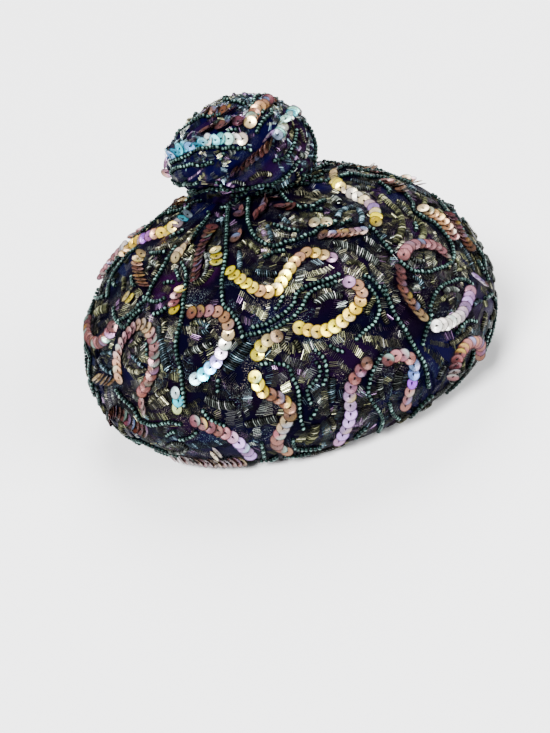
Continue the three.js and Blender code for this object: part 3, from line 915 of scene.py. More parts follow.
WIDE_STRINGS = [
    [[18, 97], [13, 97.5], [8.5, 97], [4, 99], [2.5, 103.5], [-0.5, 107], [-3, 108.5], [-6.5, 110.5],
     [-10, 110.5]],
    [[-26, 33], [-24, 40], [-22, 47], [-20.5, 53], [-19.6, 60], [-18.5, 69], [-18.7, 80],
     [-18.5, 88], [-17.5, 97], [-15.5, 101], [-14, 105], [-12.8, 110], [-12.5, 115]],
    [[-8.5, 26], [-8.6, 41], [-8.5, 49], [-7.5, 55], [-6, 60], [-4, 64], [-1, 68], [2.5, 70],
     [10, 70], [18, 69.5], [22, 67.5], [26, 68], [31, 68]],
    [[27.5, 110], [26.5, 119], [26.2, 126], [26.8, 132], [27.5, 140], [28.2, 146], [29, 152],
     [29, 159], [29.5, 166]],
    [[-54, 140], [-51, 144], [-47.5, 147], [-46.5, 151], [-45.5, 154], [-42.5, 155], [-39.5, 154]],
    [[38, 80], [38.5, 84], [38, 88], [37.5, 92], [37, 96], [36.5, 99]],
]
KNOT_STRINGS = [
    [[-71, 3], [-53, 14.5], [-38, 21], [-22.5, 23], [-8.5, 22.5], [2.5, 21]],
    [[-76, 71], [-52, 72], [-29.5, 72], [-5, 68]],
    [[36, 58], [16, 46], [9.5, 39.5], [8, 34]],
    [[30, 64], [14, 54], [4, 46]],
    [[-63, -26], [-43, -20], [-23.5, -14.5], [2.5, -13], [29, -5.5], [43, 7.5]],
    [[-96, 20], [-84, 32], [-74, 44], [-58, 51], [-38, 55]],
    [[-72, -8], [-58, 2], [-40, 8], [-24, 10]],
    [[84, 36], [78, 24], [72, 12], [62, 2]],
    [[20, 10], [34, 14], [46, 24], [54, 34]],
    [[2, 62], [20, 76], [60, 80]],
    [[-80, -14], [-66, -16], [-50, -12], [-34, -6]],
]

# Arcs of wound metallic cord: width and points
CORDS = [
    (4.2, [[64, 69], [59.5, 75], [57, 81.5], [53.5, 86.5], [49.5, 90], [45.5, 92.5], [40.5, 94.5]]),
    (4.2, [[64, 78], [63, 84], [59, 88.5], [58.5, 93.5], [56, 97.5], [53, 100], [49.5, 101]]),
    (3.2, [[32, 66.5], [37, 63.5], [41.5, 64], [44.5, 67], [41.5, 72.5], [37.5, 76.5]]),
    (5.0, [[22, 80], [25, 82.5], [28, 88], [30, 95.5], [30.5, 100.5]]),
    (3.6, [[33, 84], [34, 87], [34.5, 91], [34, 95]]),
    (3.2, [[21.5, 93.5], [24, 93], [25.5, 96], [25.5, 100], [25, 102.5]]),
    (3.0, [[19.5, 120], [20.5, 117], [23, 114.5], [24, 111]]),
    (3.0, [[41, 105], [41.5, 108], [44, 110]]),
    (3.0, [[37, 113], [38.5, 117], [38, 121]]),
    (3.0, [[35, 121.5], [35.5, 125], [35, 129]]),
    (2.4, [[50, 121], [53, 118.5], [56, 121], [53, 124], [57, 126]]),
    (3.0, [[63.5, 114], [63.5, 120], [61.5, 127.5], [60.5, 131]]),
    (3.0, [[77.5, 85.5], [80, 89], [77.5, 91.5], [71, 91.5]]),
    (3.4, [[-14, 66], [-10, 63], [-6, 68], [-5, 72]]),
    (3.0, [[-13, 68], [-12.5, 74], [-12.5, 80]]),
    (4.0, [[-7, 82], [-3, 85], [0, 86]]),
    (3.0, [[1, 53], [1.2, 60], [1.5, 66]]),
    (3.0, [[9, 50], [10.5, 54], [12, 58]]),
    (3.0, [[-38.5, 70], [-36.5, 67], [-34, 63.5]]),
    (2.6, [[-29, 66], [-26, 72], [-26, 80], [-29, 82], [-31, 79]]),
    (3.0, [[-57, 74], [-52, 73], [-50, 77], [-51, 81]]),
    (5.0, [[-38.5, 106], [-37, 113], [-35.5, 120], [-34, 127]]),
    (6.5, [[-11, 117], [-13.5, 121], [-16.5, 125.5], [-18.5, 128]]),
    (4.2, [[-28, 105], [-25.5, 104.5], [-23, 104]]),
    (4.0, [[-29, 119], [-25, 117], [-21, 115]]),
    (2.6, [[-27, 66.5], [-23.5, 72.5], [-22.5, 76]]),
    (2.6, [[-31.5, 44], [-29.5, 40.5], [-24, 48.5]]),
    (3.0, [[-48.5, 117.5], [-46, 115.5], [-43.5, 112.5]]),
    (3.0, [[-49, 127.5], [-46, 129], [-42.5, 128], [-41, 126.5]]),
    (2.6, [[-47, 121], [-44.5, 123.5], [-42, 126.5]]),
    (3.0, [[-63.5, 128], [-62.5, 131.5], [-59.5, 133], [-55.5, 133]]),
    (2.6, [[-62.5, 126], [-58.5, 123.5], [-55.5, 123]]),
    (2.6, [[-52.5, 141.5], [-52.5, 144], [-53.5, 147.5]]),
    (3.0, [[-40.5, 143.5], [-39.5, 140.5], [-36, 137], [-34, 135.5]]),
    (2.4, [[-40.5, 168.5], [-36.5, 164.5], [-34, 165.5], [-34, 168.5], [-38, 173], [-42, 174]]),
    (4.5, [[-16, 155], [-12, 154.5], [-8, 154]]),
    (3.0, [[0, 120], [0.5, 123], [0.5, 126.5]]),
    (3.0, [[-3.5, 117.5], [-2.5, 123], [-1.5, 126]]),
    (2.6, [[3.5, 159], [4, 164], [3.5, 168.5]]),
    (3.6, [[42, 160], [43, 166], [43.5, 172]]),
    (3.0, [[38.5, 151], [41, 152], [43.5, 152], [48.5, 151]]),
    (3.0, [[35.5, 159.5], [34, 162], [33, 165]]),
    (3.4, [[-29.5, 84], [-26.5, 83.5], [-24.5, 80.5], [-23, 76.5]]),
    (3.0, [[-54.5, 78], [-55.5, 73.5], [-51, 74.5]]),
    (3.4, [[-38.5, 102], [-36.5, 105.5], [-36.5, 109.5]]),
    (3.4, [[-27, 103.5], [-24.5, 104.5], [-22, 108], [-25, 110]]),
    (3.4, [[61.5, 79], [61, 82.5], [60, 86], [58.5, 90]]),
    (3.4, [[43, 127.5], [46, 128.5], [48.5, 131.5]]),
    (3.4, [[24, 120.5], [23.5, 123.5], [23.5, 127.5]]),
    (3.0, [[43, 118.5], [41.5, 122]]),
    (3.0, [[54, 121], [52, 123], [51, 126]]),
]
# Patches where the brocade shows plain wine cloth: around, down, half sizes, strength
WINE_PATCHES = [
    (-40, 85, 6, 11, 0.7), (-25, 75, 5, 10, 0.7), (55, 95, 5, 10, 0.7), (60, 66, 9, 9, 0.6),
    (-60, 60, 8, 10, 0.5), (48, 122, 7, 7, 0.6), (10, 60, 8, 6, 0.35), (60, 150, 12, 14, 0.3),
    (-36, 155, 8, 8, 0.3), (5, 135, 14, 10, 0.25), (20, 95, 8, 8, 0.3),
]
# Patches of the brocade that are brighter navy
NAVY_PATCHES = [
    (-62, 32, 16, 12, 1.0), (-78, 84, 9, 18, 0.9), (60, 40, 14, 9, 0.9), (66, 70, 9, 14, 0.8),
    (-52, 172, 26, 16, 0.9), (-20, 165, 14, 12, 0.6), (36, 160, 10, 16, 0.9), (64, 140, 12, 22, 1.0),
    (-4, 108, 8, 7, 0.4), (-44, 130, 8, 8, 0.5), (30, 150, 6, 10, 0.7), (8, 172, 10, 10, 0.9),
    (22, 172, 12, 14, 0.9), (-70, 140, 10, 20, 0.6),
]
# The topknot's wine patch: around, degrees from the top, and half sizes
KNOT_WINE = (52, 68, 26, 34)
EDGE_POLAR = (89.9, 90.1)       # the ring of points at a dome's edge lies between these

HALVES = {"near": 0.0, "far": 180.0}    # degrees by which each half's charts are turned
SIDE_REACH = 83         # degrees, as far round as rows are repeated on the far half
# Roll and colours of trails that differ on the far half
FAR_LOOKS = {"ribbon": (0, [DUSTY, ROSE, TAN, ROSE]), "scarf": (-10, [PEACH, CREAM, PINK, CREAM, TAN])}

# How far charted rows keep others off, to each side of their middle
TRAIL_REACH, KNOT_TRAIL_REACH, STRING_REACH, WIDE_STRING_REACH = 2.6, 2.8, 1.4, 1.9

# What fills the cloth between the charted rows: how many are tried, over which part, and their sizes
CROWN_CORD_FILL = {"tries": 2600, "around_range": (-90, 90), "along_range": (30, 190),
                   "lengths": (9, 26), "widths": (3.0, 6.0), "gap": 0.5}
CROWN_BEAD_FILL = {"tries": 1100, "around_range": (-90, 90), "along_range": (26, 192),
                   "lengths": (7, 20), "widths": (2.0, 2.1), "gap": 0.1}
CROWN_STITCH_FILL = {"count": 26000, "around_range": (-90, 90), "along_range": (30, 188),
                     "warmth": 0.88, "band": BAND_LENGTH}
KNOT_CORD_FILL = {"tries": 1500, "around_range": (-180, 180), "along_range": (-18, 78),
                  "lengths": (7, 18), "widths": (2.2, 3.8), "gap": 0.3}
KNOT_BEAD_FILL = {"tries": 1000, "around_range": (-180, 180), "along_range": (-24, 80),
                  "lengths": (5, 14), "widths": (2.0, 2.1), "gap": 0.1}
KNOT_STITCH_FILL = {"count": 17000, "around_range": (-180, 180), "along_range": (-28, 84),
                    "warmth": 0.2, "band": 13}


# Cloth pieces
def sphere_chart(mesh):
    """Azimuth from -Y towards +X and polar angle from the top, in degrees, of each point."""
    points = np.empty(3 * len(mesh.vertices))
    mesh.vertices.foreach_get("co", points)
    points = unit(points.reshape(-1, 3))
    around = np.degrees(np.arctan2(points[:, 0], -points[:, 1]))
    return around, np.degrees(np.arccos(np.clip(points[:, 2], -1, 1)))


def set_points(mesh, points):
    mesh.vertices.foreach_set("co", (points * MM).ravel())
    mesh.update()


def set_attribute(mesh, name, values):
    mesh.attributes.new(name, "FLOAT", "POINT").data.foreach_set("value", values)


def patch_share(patches, around, down):
    """How much of each patch's colour the cloth has, in the same patches on both halves."""
    share = 0 * around
    for middle, level, half_around, half_down, strength in patches:
        for turn in HALVES.values():
            across = degrees_apart(around, middle + turn) / half_around
            far = across ** 2 + ((down - level) / half_down) ** 2
            share = np.maximum(share, strength * (1 - smoothstep(far, 0.4, 1.3)))
    return share


def select_points(piece, chosen):
    """Select the chosen points alone, and stay in edit mode."""
    bpy.ops.object.mode_set(mode="EDIT")
    bpy.ops.mesh.select_mode(type="VERT")
    bpy.ops.mesh.select_all(action="DESELECT")
    bpy.ops.object.mode_set(mode="OBJECT")
    piece.data.vertices.foreach_set("select", chosen)
    bpy.ops.object.mode_set(mode="EDIT")


def domed_cloth(name, at, lift, thick, short, sides, rings):
    """A dome of cloth over the crown's outline, turned in at its edge, short of the rim or on it."""
    deselect()
    bpy.ops.mesh.primitive_uv_sphere_add(segments=sides, ring_count=2 * rings, radius=1)
    piece = named(name)
    select_points(piece, sphere_chart(piece.data)[1] > EDGE_POLAR[1])
    bpy.ops.mesh.delete(type="VERT")
    bpy.ops.object.mode_set(mode="OBJECT")
    around, polar = sphere_chart(piece.data)
    down = polar / 90 * (DOWN_TO_RIM - short)
    set_points(piece.data, at(around, down, lift))
    set_attribute(piece.data, "wine", patch_share(WINE_PATCHES, around, down))
    set_attribute(piece.data, "navy", patch_share(NAVY_PATCHES, around, down))
    select_points(piece, polar > EDGE_POLAR[0])
    bpy.ops.mesh.select_mode(type="EDGE")
    shrink = (RIM_HALF_LENGTH - HEM_WIDTH) / RIM_HALF_LENGTH
    bpy.ops.mesh.extrude_edges_move()
    bpy.ops.transform.resize(value=(shrink, shrink, 1), center_override=(0, 0, 0))
    bpy.ops.object.mode_set(mode="OBJECT")
    apply_modifier(piece, "SOLIDIFY", thickness=thick * MM, offset=-1)
    bpy.ops.object.shade_smooth_by_angle(angle=SMOOTH_CLOTH)
    return piece


def topknot_cloth():
    """The wrapped topknot, one stuffed body that is flat where it sits on the crown."""
    deselect()
    bpy.ops.mesh.primitive_uv_sphere_add(segments=KNOT_SIDES, ring_count=KNOT_RINGS, radius=1)
    piece = named("topknot_cloth")
    around, polar = sphere_chart(piece.data)
    points = knot_at(around, 90 - polar)
    points[:, 2] = np.maximum(points[:, 2], CROWN_HEIGHT + KNOT_GAP)
    set_points(piece.data, points)
    twist = np.radians(around - FOLD_TWIST * np.cos(np.radians(polar)))
    streaks = smoothstep(np.sin(3 * twist + 0.6) + 0.4 * np.sin(7 * twist), 0.5, 1.3) * 0.7
    middle, level, half_around, half_polar = KNOT_WINE
    away = np.abs(degrees_apart(around, middle)) / half_around + np.abs(polar - level) / half_polar
    right = 1 - smoothstep(away, 0.5, 1.3)
    set_attribute(piece.data, "wine", np.maximum(streaks * 0.6, right * 0.9))
    set_attribute(piece.data, "navy", 1 - right)
    bpy.ops.object.shade_smooth_by_angle(angle=SMOOTH_KNOT)
    return piece


# Sewn pieces
def colours_along(stops, share):
    stops = np.asarray(stops, float)
    place = np.linspace(0, 1, len(stops))
    return np.stack([np.interp(share, place, stops[:, k]) for k in range(3)], axis=-1)


def jitter(size, count):
    """Random amounts up to size either way."""
    return rng.uniform(-size, size, count)


def sequin_row(model, at, via, pitch, tilt, roll, stops, turn=0.0, lift=SEQUIN_LIFT):
    """A row of overlapping sequins, each a little askew, and its colours from edge to edge."""
    places = along_route(at, via, pitch, turn)
    count = len(places)
    reach = SEQUIN_WIDTH / 2
    roll = np.interp(places.share, np.linspace(0, 1, np.size(roll)), np.atleast_1d(roll))
    front = reach * math.sin(math.radians(abs(tilt)))
    side = reach * np.sin(np.radians(np.abs(roll))) - SEQUIN_SINK
    across, along = (jitter(size, count) for size in SEQUIN_SLACK)
    rows = places.moved(across=across, along=along, out=lift + np.maximum(front, side))
    pitches, rolls, yaws = (jitter(size, count) for size in SEQUIN_ASKEW)
    rows = rows.tilted(pitch=tilt + pitches, roll=roll + rolls, yaw=yaws)
    tints = sequin_tints(model, colours_along(stops, places.share), math.copysign(1, tilt))
    width = rng.uniform(0.97, 1.03, (count, 1))
    return model, rows, np.concatenate([width, width, np.ones((count, 1))], axis=1), tints


def sequin_tints(model, base, covered_end):
    """Colours over each sequin: its own, a painted iridescent sheen of another at one side, and painted
    shadow where it is covered.
    """
    count = len(base)
    share, besides = SEQUIN_UNEVEN
    base = base * (1 + jitter(share, count))[:, None]
    base = np.clip(base + jitter(besides, (count, 3)), *SEQUIN_SHADES)
    # painted iridescent sheen: a second colour of the film laid over one side of each sequin
    sheen_colour = PAINTED_SHEEN_COLOURS[rng.integers(0, len(PAINTED_SHEEN_COLOURS), count)]
    side = model.points[:, 0] * 0.7 + model.points[:, 1] * 0.7
    amount = np.clip(side / SEQUIN_WIDTH * SHEEN_SLOPE, 0, SHEEN_MOST)[None, :, None]
    amount = amount * rng.uniform(0, 0.8, (count, 1, 1))
    tints = base[:, None] * (1 - amount) + sheen_colour[:, None] * amount
    # painted shadow: the end that lies under the next sequin is darkened
    under_next_shadow = np.clip(-covered_end * model.points[:, 0] / (SEQUIN_WIDTH / 2), 0, 1)
    return tints * (1.1 - COVERED_PAINTED_SHADOW * under_next_shadow ** 1.5)[None, :, None]


def thread_of(model, row):
    """The dark stitch that holds each sequin down through its hole."""
    places = row[1].moved(along=0.3, out=0.12)
    return model, places, HOLDING_STITCH, SEWING_THREAD


def bead_tints(model, count):
    """Near-black teal glass with a painted pale mint highlight on the side that faces out."""
    along, out = model.points[:, 0], model.points[:, 2]
    # painted highlight: the points that face out on each bead are made pale mint, brightest in its middle
    painted_gleam = np.clip(out / out.max() * 5 - 4, 0, 1) * (1 - np.abs(along) / along.max())
    painted_gleam = np.clip(painted_gleam[None, :, None] * rng.uniform(0.1, 1.0, (count, 1, 1)) ** 1.9, 0, 1)
    body = np.array(GLASS)[rng.integers(0, len(GLASS), count)][:, None]
    return body * (1 - painted_gleam) + np.array(PAINTED_BEAD_HIGHLIGHT) * painted_gleam


def bead_row(model, at, via, turn=0.0, size=1.0):
    """A string of beads laid along a route, each a little askew; size makes them broader."""
    places = along_route(at, via, BEAD_PITCH * size ** 0.3, turn)
    count = len(places)
    across, out = (jitter(most, count) for most in BEAD_SLACK)
    pitches, yaws = (jitter(most, count) for most in BEAD_ASKEW)
    places = places.moved(across=across, out=BEAD_RISE + out).tilted(pitch=pitches, yaw=yaws)
    sizes = rng.uniform(0.92, 1.06, (count, 1)) * np.array([1, size, 0.5 + size / 2])
    return model, places, sizes, bead_tints(model, count)


def metal_tints(colours, count):
    """Uneven metallic thread: mostly dull, with painted glints that make some turns bright as though they
    caught the light.
    """
    # painted glint for each copy
    painted_glint = np.clip(np.exp(rng.normal(PAINTED_GLINT, PAINTED_GLINT_SPREAD, (count, 1))), *PAINTED_GLINT_RANGE)
    return np.clip(THREADS[colours] * painted_glint, 0, BRIGHTEST_THREAD)


def painted_shade_at(around, along):
    """Painted shade: how much darker the threads are made towards the rim and at the sides."""
    (rim_shade, *rim_range), (side, *side_range) = RIM_PAINTED_SHADE, SIDE_PAINTED_SHADE
    return (1 - rim_shade * smoothstep(along, *rim_range)) * (1 - side * smoothstep(np.abs(around), *side_range))


def cord_ribs(model, at, width, via, turn=0.0, colours=CROWN_CORDS):
    """The turns of a wound metallic cord, laid across its route at a slight slant."""
    places = along_route(at, via, CORD_PITCH, turn)
    count = len(places)
    ends = np.sqrt(np.clip(4 * places.share * (1 - places.share) * count / 6, 0.25, 1))
    across, out = (jitter(most, count) for most in CORD_SLACK)
    places = places.moved(across=across, out=CORD_RISE + out)
    places = places.tilted(yaw=CORD_SLANT + jitter(6, count))
    thick = CORD_THREAD * (1 + jitter(0.2, count))
    broad = width * ends * (1 + jitter(0.1, count))
    # painted shade: each turn of thread is made darkest low down, where it meets the core and its
    # neighbours, and lightest at its crest
    crest = np.clip(model.points[:, 2] / model.points[:, 2].max(), 0, 1)
    tints = metal_tints(rng.choice(colours), count)[:, None] * (0.12 + 0.88 * crest)[None, :, None]
    # painted shade towards the crown's rim and sides
    tints = tints * (painted_shade_at(*np.mean(via, axis=0)) if at is crown_at else 1)
    return model, places, np.column_stack([thick, broad, 0.8 + 0.7 * ends]), tints


def cord_core(model, at, width, via, turn=0.0):
    """The dark core under the turns of a wound cord."""
    places = along_route(at, via, CORE_PITCH, turn).moved(out=-0.05)
    length, share, height = CORE_SIZE
    return model, places, (length, width * share, height), CORD_CORE


def flow(around, along):
    """The way in which the embroidery runs over the cloth, in radians of its chart."""
    turn = np.radians(around)
    return (2.2 * np.sin(3 * turn + along / 24 + 0.8) + 1.7 * np.sin(along / 16 - 5 * turn)
            + 1.2 * np.sin(along / 37 + 2 * turn))


def clear_of(taken, reach, points, gap):
    """Which points are at least gap away from everything taken."""
    tree = KDTree(len(taken))
    for k, point in enumerate(taken):
        tree.insert(point, k)
    tree.balance()
    clear = []
    for point in points:
        near = tree.find_n(point, 3)
        clear.append(all(far > reach[k] + gap for _, k, far in near))
    return np.array(clear)


def stitches(model, at, turn, taken, count, around_range, along_range, warmth, band):
    """Short metallic stitches side by side in satin bands that swirl over the cloth."""
    patches = count // BAND_STITCHES
    around = rng.uniform(*around_range, patches)
    low, high = along_range
    along = low + (high - low) * rng.uniform(0, 1, patches) ** BAND_CROWDING
    heading = flow(around, along) + rng.normal(0, BAND_WANDER, patches)
    bend = jitter(BAND_BEND, patches)
    size = band * rng.uniform(0.8, 1.2, patches)
    arcs = wandering_arcs(at, around, along, heading, bend, size)
    step = np.linspace(0, arcs.shape[1] - 1, BAND_STITCHES)
    first = np.minimum(step.astype(int), arcs.shape[1] - 2)
    part = (step - first)[None, :, None]
    chart = (arcs[:, first] * (1 - part) + arcs[:, first + 1] * part).reshape(-1, 2)
    patch = np.repeat(np.arange(patches), BAND_STITCHES)
    share = np.tile(step / step[-1], patches)
    total = len(chart)
    chart[:, 1] = np.clip(chart[:, 1], low - 10, high + 3)
    keep = clear_of(*taken, at(chart[:, 0], chart[:, 1]), STITCH_GAP)
    keep &= (chart[:, 1] > low - 9) & (chart[:, 1] < high + 2)
    point, out, by_around, by_along = surface_frame(at, chart[:, 0] + turn, chart[:, 1])
    run = (bend * size)[patch] * share
    angle = (heading[patch] + run + STITCH_SLANT + rng.normal(0, 0.05, total))[:, None]
    along_stitch = np.cos(angle) * unit(by_around) + np.sin(angle) * unit(by_along)
    places = Places(point, along_stitch, out, share).moved(along=jitter(0.3, total), out=0.08)
    length = STITCH_LENGTH * (band / BAND_LENGTH) ** 0.4 * rng.uniform(0.6, 1.6, patches)[patch]
    length = length * rng.uniform(0.85, 1.15, total)
    sizes = np.column_stack([length, np.full(total, STITCH_THICK), np.full(total, STITCH_THICK)])
    cold = rng.uniform(0, 1, patches) > warmth * (1 - 0.6 * smoothstep(along, 120, 175))
    colours = np.where(cold, rng.choice(COLD_THREADS, patches), rng.choice(WARM_THREADS, patches))
    # painted glints: each band is made brighter in stretches along its length
    phase = rng.uniform(0, 1, patches)[patch] + share * PAINTED_GLEAMS_PER_BAND
    painted_gleam = 0.25 + 2.3 * np.clip(np.sin(2 * math.pi * phase), 0, 1) ** 2
    # painted shade on the crown, a flat brightening on the topknot, times a random dullness for each band
    shade = painted_shade_at(around, along) if at is crown_at else KNOT_SHINE
    dullness_and_shade = (0.04 + 2.1 * rng.uniform(0, 1, patches) ** 2.6) * shade
    tints = metal_tints(colours[patch], total) * (dullness_and_shade[patch] * painted_gleam)[:, None]
    return model, places.part(keep), sizes[keep], tints[keep]


def wandering_arcs(at, around, along, heading, bend, length):
    """Chart points of short arcs over the cloth, each bending steadily from its own start."""
    points = [np.stack([around, along], axis=-1)]
    for _ in range(ARC_STEPS):
        _, _, by_around, by_along = surface_frame(at, around, along)
        scales = [np.maximum(np.linalg.norm(step, axis=-1), 0.1) for step in (by_around, by_along)]
        around = around + length / ARC_STEPS * np.cos(heading) / scales[0]
        along = along + length / ARC_STEPS * np.sin(heading) / scales[1]
        heading = heading + bend * length / ARC_STEPS
        points.append(np.stack([around, along], axis=-1))
    return np.stack(points, axis=1)


def filling_arcs(at, taken, reach, tries, around_range, along_range, lengths, widths, gap):
    """Short arcs that fill the cloth between what is there, without touching it."""
    around = rng.uniform(*around_range, tries)
    along = rng.uniform(*along_range, tries)
    heading = flow(around, along) + rng.normal(0, ARC_WANDER, tries)
    bend = rng.uniform(*ARC_BEND, tries) * rng.choice([-1, 1], tries)
    length = rng.uniform(*lengths, tries)
    width = rng.uniform(*widths, tries)
    arcs = wandering_arcs(at, around, along, heading, bend, length)
    inside = (arcs[..., 1].min(1) > along_range[0]) & (arcs[..., 1].max(1) < along_range[1])
    kept = []
    for k in np.flatnonzero(inside):
        points = at(arcs[k, :, 0], arcs[k, :, 1])
        apart = np.linalg.norm(points[:, None] - taken[None], axis=-1) - reach[None]
        if apart.min() < width[k] / 2 + gap:
            continue
        kept.append((width[k], arcs[k]))
        taken = np.concatenate([taken, points])
        reach = np.concatenate([reach, np.full(len(points), width[k] / 2)])
    return kept, taken, reach


# Studio
TARGET = Vector((0.0, 0.0, 0.050))
CAMERA_DISTANCE = 0.515
CAMERA_ELEVATION = math.radians(22)
CAMERA_ROLL = math.radians(14.4)
FOCAL_PIXELS = 930.0
PHOTO_WIDTH, PHOTO_HEIGHT = 550.0, 733.0
TARGET_PIXEL = (282.0, 292.0)
SENSOR_WIDTH = 36.0
FLOOR_SIZE = 60         # metres
AIR_LIGHT = 0.07
# Name, place, strength and spread in degrees
SUNS = [
    ("key_light", (-0.55, -0.85, 0.95), 12.0, 22),
    ("fill_light", (1.0, -0.7, 0.75), 4.6, 34),
    ("back_light", (0.1, 0.9, 1.1), 5.0, 30),
]


def set_camera():
    """The view of the photo: the target on its pixel, the picture turned a little."""
    data = bpy.data.cameras.new("camera")
    camera = bpy.data.objects.new("camera", data)
    bpy.context.scene.collection.objects.link(camera)
    bpy.context.scene.camera = camera
    data.sensor_width = SENSOR_WIDTH
    data.lens = SENSOR_WIDTH * FOCAL_PIXELS / PHOTO_HEIGHT
    data.shift_x = -(TARGET_PIXEL[0] - PHOTO_WIDTH / 2) / PHOTO_HEIGHT
    data.shift_y = -(PHOTO_HEIGHT / 2 - TARGET_PIXEL[1]) / PHOTO_HEIGHT
    data.clip_start = 0.01
    back = Vector((0, -math.cos(CAMERA_ELEVATION), math.sin(CAMERA_ELEVATION)))
    right = Vector((1, 0, 0))
    up = back.cross(right)
    cosine, sine = math.cos(CAMERA_ROLL), math.sin(CAMERA_ROLL)
    turned = (right * cosine - up * sine, right * sine + up * cosine, back)
    matrix = Matrix([axis.to_4d() for axis in turned]).to_3x3().transposed().to_4x4()
    camera.matrix_world = Matrix.Translation(TARGET + back * CAMERA_DISTANCE) @ matrix


def add_sun(name, place, energy, spread):
    """A far soft light that shines from place towards the hat."""
    data = bpy.data.lights.new(name, "SUN")
    data.energy = energy
    data.angle = math.radians(spread)
    light = bpy.data.objects.new(name, data)
    bpy.context.scene.collection.objects.link(light)
    light.location = place
    light.rotation_euler = (TARGET - Vector(place)).to_track_quat("-Z", "Y").to_euler()


def set_studio():
    deselect()
    bpy.ops.mesh.primitive_plane_add(size=FLOOR_SIZE)
    floor = named("studio_floor")
    floor.data.materials.append(floor_finish())
    for name, place, energy, spread in SUNS:
        add_sun(name, place, energy, spread)
    world = bpy.data.worlds.new("studio_air")
    bpy.context.scene.world = world
    world.use_nodes = True
    sky = world.node_tree.nodes["Background"]
    sky.inputs["Color"].default_value = (1, 1, 1, 1)
    sky.inputs["Strength"].default_value = AIR_LIGHT


# Making
def finish_piece(piece, material, replaced=()):
    piece.data.materials.clear()
    piece.data.materials.append(material)
    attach(piece, "root")
    if replaced:
        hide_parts(*replaced)


set_camera()
set_studio()

BROCADE, INNER = brocade(), inner_cloth()
SEQUIN, BEAD = sequin_finish("sequin"), bead_finish()
CORD = tinted("metallic_cord", 0.5, 0.24, mottle=0.2)
THREAD = tinted("sewing_thread", 0.0, 0.6, mottle=0.3)


def lay_cloth():
    """The crown's covering over its plain inner cloth, and the topknot."""
    shell = domed_cloth("crown_brocade", crown_at, 0.0, BROCADE_THICK, 0.0, CROWN_SIDES, CROWN_RINGS)
    finish_piece(shell, BROCADE, ["crown"])
    inside = domed_cloth("crown_inside", lining_at, -(BROCADE_THICK + LINING_GAP), LINING_THICK,
                         LINING_SHORT, LINING_SIDES, LINING_RINGS)
    finish_piece(inside, INNER)
    knot = topknot_cloth()
    finish_piece(knot, BROCADE, ["topknot"])


lay_cloth()
sequin, bead, rib, stitch = model_sequin(), model_bead(), model_rib(), model_stitch()


def on_half(half, via):
    """Rows that reach past the side of the near half aren't repeated on the far one."""
    return half == "near" or max(abs(around) for around, _ in via) < SIDE_REACH


def fill_between(at, routes, cord_fill, bead_fill):
    """Cords and strings between the charted routes, and what is then taken, each with its reach."""
    spots = [along_route(at, via, CHECK_PITCH).middle for via, _ in routes]
    taken = np.concatenate(spots)
    reach = np.concatenate([np.full(len(spot), side) for spot, (_, side) in zip(spots, routes)])
    cords, taken, reach = filling_arcs(at, taken, reach, **cord_fill)
    beads, taken, reach = filling_arcs(at, taken, reach, **bead_fill)
    return cords, [via for _, via in beads], (taken, reach)


def wound_cords(at, cords, turn, colours):
    """The turns and the core of each cord."""
    wound = []
    for width, via in cords:
        wound.append(cord_ribs(rib, at, width, via, turn, colours))
        wound.append(cord_core(rib, at, width, via, turn))
    return wound


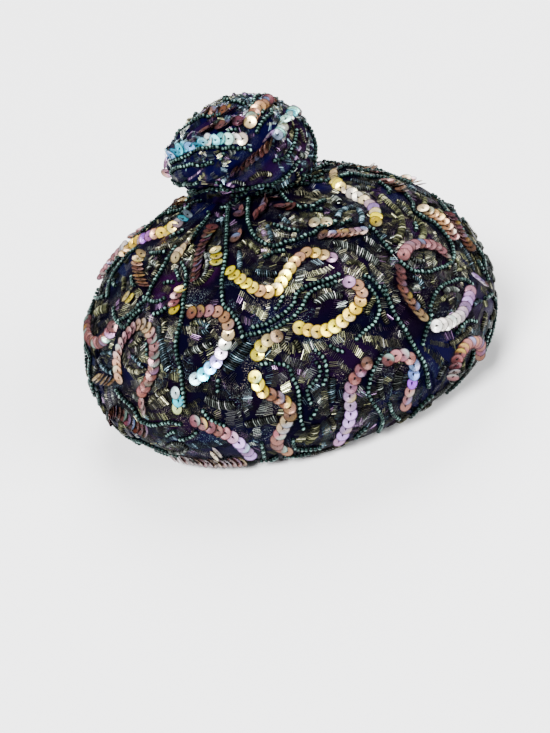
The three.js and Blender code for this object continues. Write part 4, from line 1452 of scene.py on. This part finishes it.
def dress_crown():
    """Everything sewn on the crown: the near half by its charts, and the same turned for the far."""
    routes = [(via, TRAIL_REACH) for via, *_ in [*CROWN_TRAILS.values(), *CROWN_SCRAPS]]
    routes += [(via, STRING_REACH) for via in SINGLE_STRINGS]
    routes += [(via, WIDE_STRING_REACH) for via in WIDE_STRINGS]
    routes += [(via, width / 2) for width, via in CORDS]
    cords, beads, taken = fill_between(crown_at, routes, CROWN_CORD_FILL, CROWN_BEAD_FILL)
    for half, turn in HALVES.items():
        rows = []
        for name, (via, pitch, tilt, roll, stops) in CROWN_TRAILS.items():
            if half == "far":
                roll, stops = FAR_LOOKS.get(name, (roll, stops))
            rows.append(sequin_row(sequin, crown_at, via, pitch, tilt, roll, stops, turn))
        finish_piece(copies(f"crown_sequins_{half}", rows), SEQUIN,
                     [f"sequins_{half}_{name}" for name in CROWN_TRAILS])
        scraps = [sequin_row(sequin, crown_at, *scrap, turn)
                  for scrap in CROWN_SCRAPS if on_half(half, scrap[0])]
        finish_piece(copies(f"sequin_scraps_{half}", scraps), SEQUIN)
        threads = [thread_of(stitch, row) for row in rows + scraps]
        finish_piece(copies(f"sequin_stitches_{half}", threads), THREAD)
        strings = [bead_row(bead, crown_at, via, turn)
                   for via in SINGLE_STRINGS + beads if on_half(half, via)]
        strings += [bead_row(bead, crown_at, via, turn, WIDE_BEAD) for via in WIDE_STRINGS]
        finish_piece(copies(f"bead_strings_{half}", strings), BEAD)
        shown = [(width, via) for width, via in CORDS + cords if on_half(half, via)]
        finish_piece(copies(f"wound_cords_{half}", wound_cords(crown_at, shown, turn, CROWN_CORDS)),
                     CORD)
        bands = stitches(stitch, crown_at, turn, taken, **CROWN_STITCH_FILL)
        finish_piece(copies(f"metallic_stitches_{half}", [bands]), CORD)


def dress_topknot():
    """Everything sewn on the topknot."""
    routes = [(via, KNOT_TRAIL_REACH) for via, *_ in [*KNOT_TRAILS.values(), *KNOT_SCRAPS]]
    routes += [(via, STRING_REACH) for via in KNOT_STRINGS]
    cords, beads, taken = fill_between(knot_at, routes, KNOT_CORD_FILL, KNOT_BEAD_FILL)
    rows = [sequin_row(sequin, knot_at, *trail, lift=KNOT_LIFT) for trail in KNOT_TRAILS.values()]
    rows += [sequin_row(sequin, knot_at, *scrap, lift=KNOT_SCRAP_LIFT) for scrap in KNOT_SCRAPS]
    finish_piece(copies("topknot_sequins", rows), SEQUIN,
                 [f"sequins_knot_{name}" for name in KNOT_TRAILS])
    threads = [thread_of(stitch, row) for row in rows]
    finish_piece(copies("topknot_sequin_stitches", threads), THREAD)
    strings = [bead_row(bead, knot_at, via) for via in KNOT_STRINGS + beads]
    finish_piece(copies("topknot_bead_strings", strings), BEAD)
    finish_piece(copies("topknot_wound_cords", wound_cords(knot_at, cords, 0.0, KNOT_CORDS)),
                 CORD)
    bands = stitches(stitch, knot_at, 0.0, taken, **KNOT_STITCH_FILL)
    finish_piece(copies("topknot_stitches", [bands]), CORD)


dress_crown()
dress_topknot()
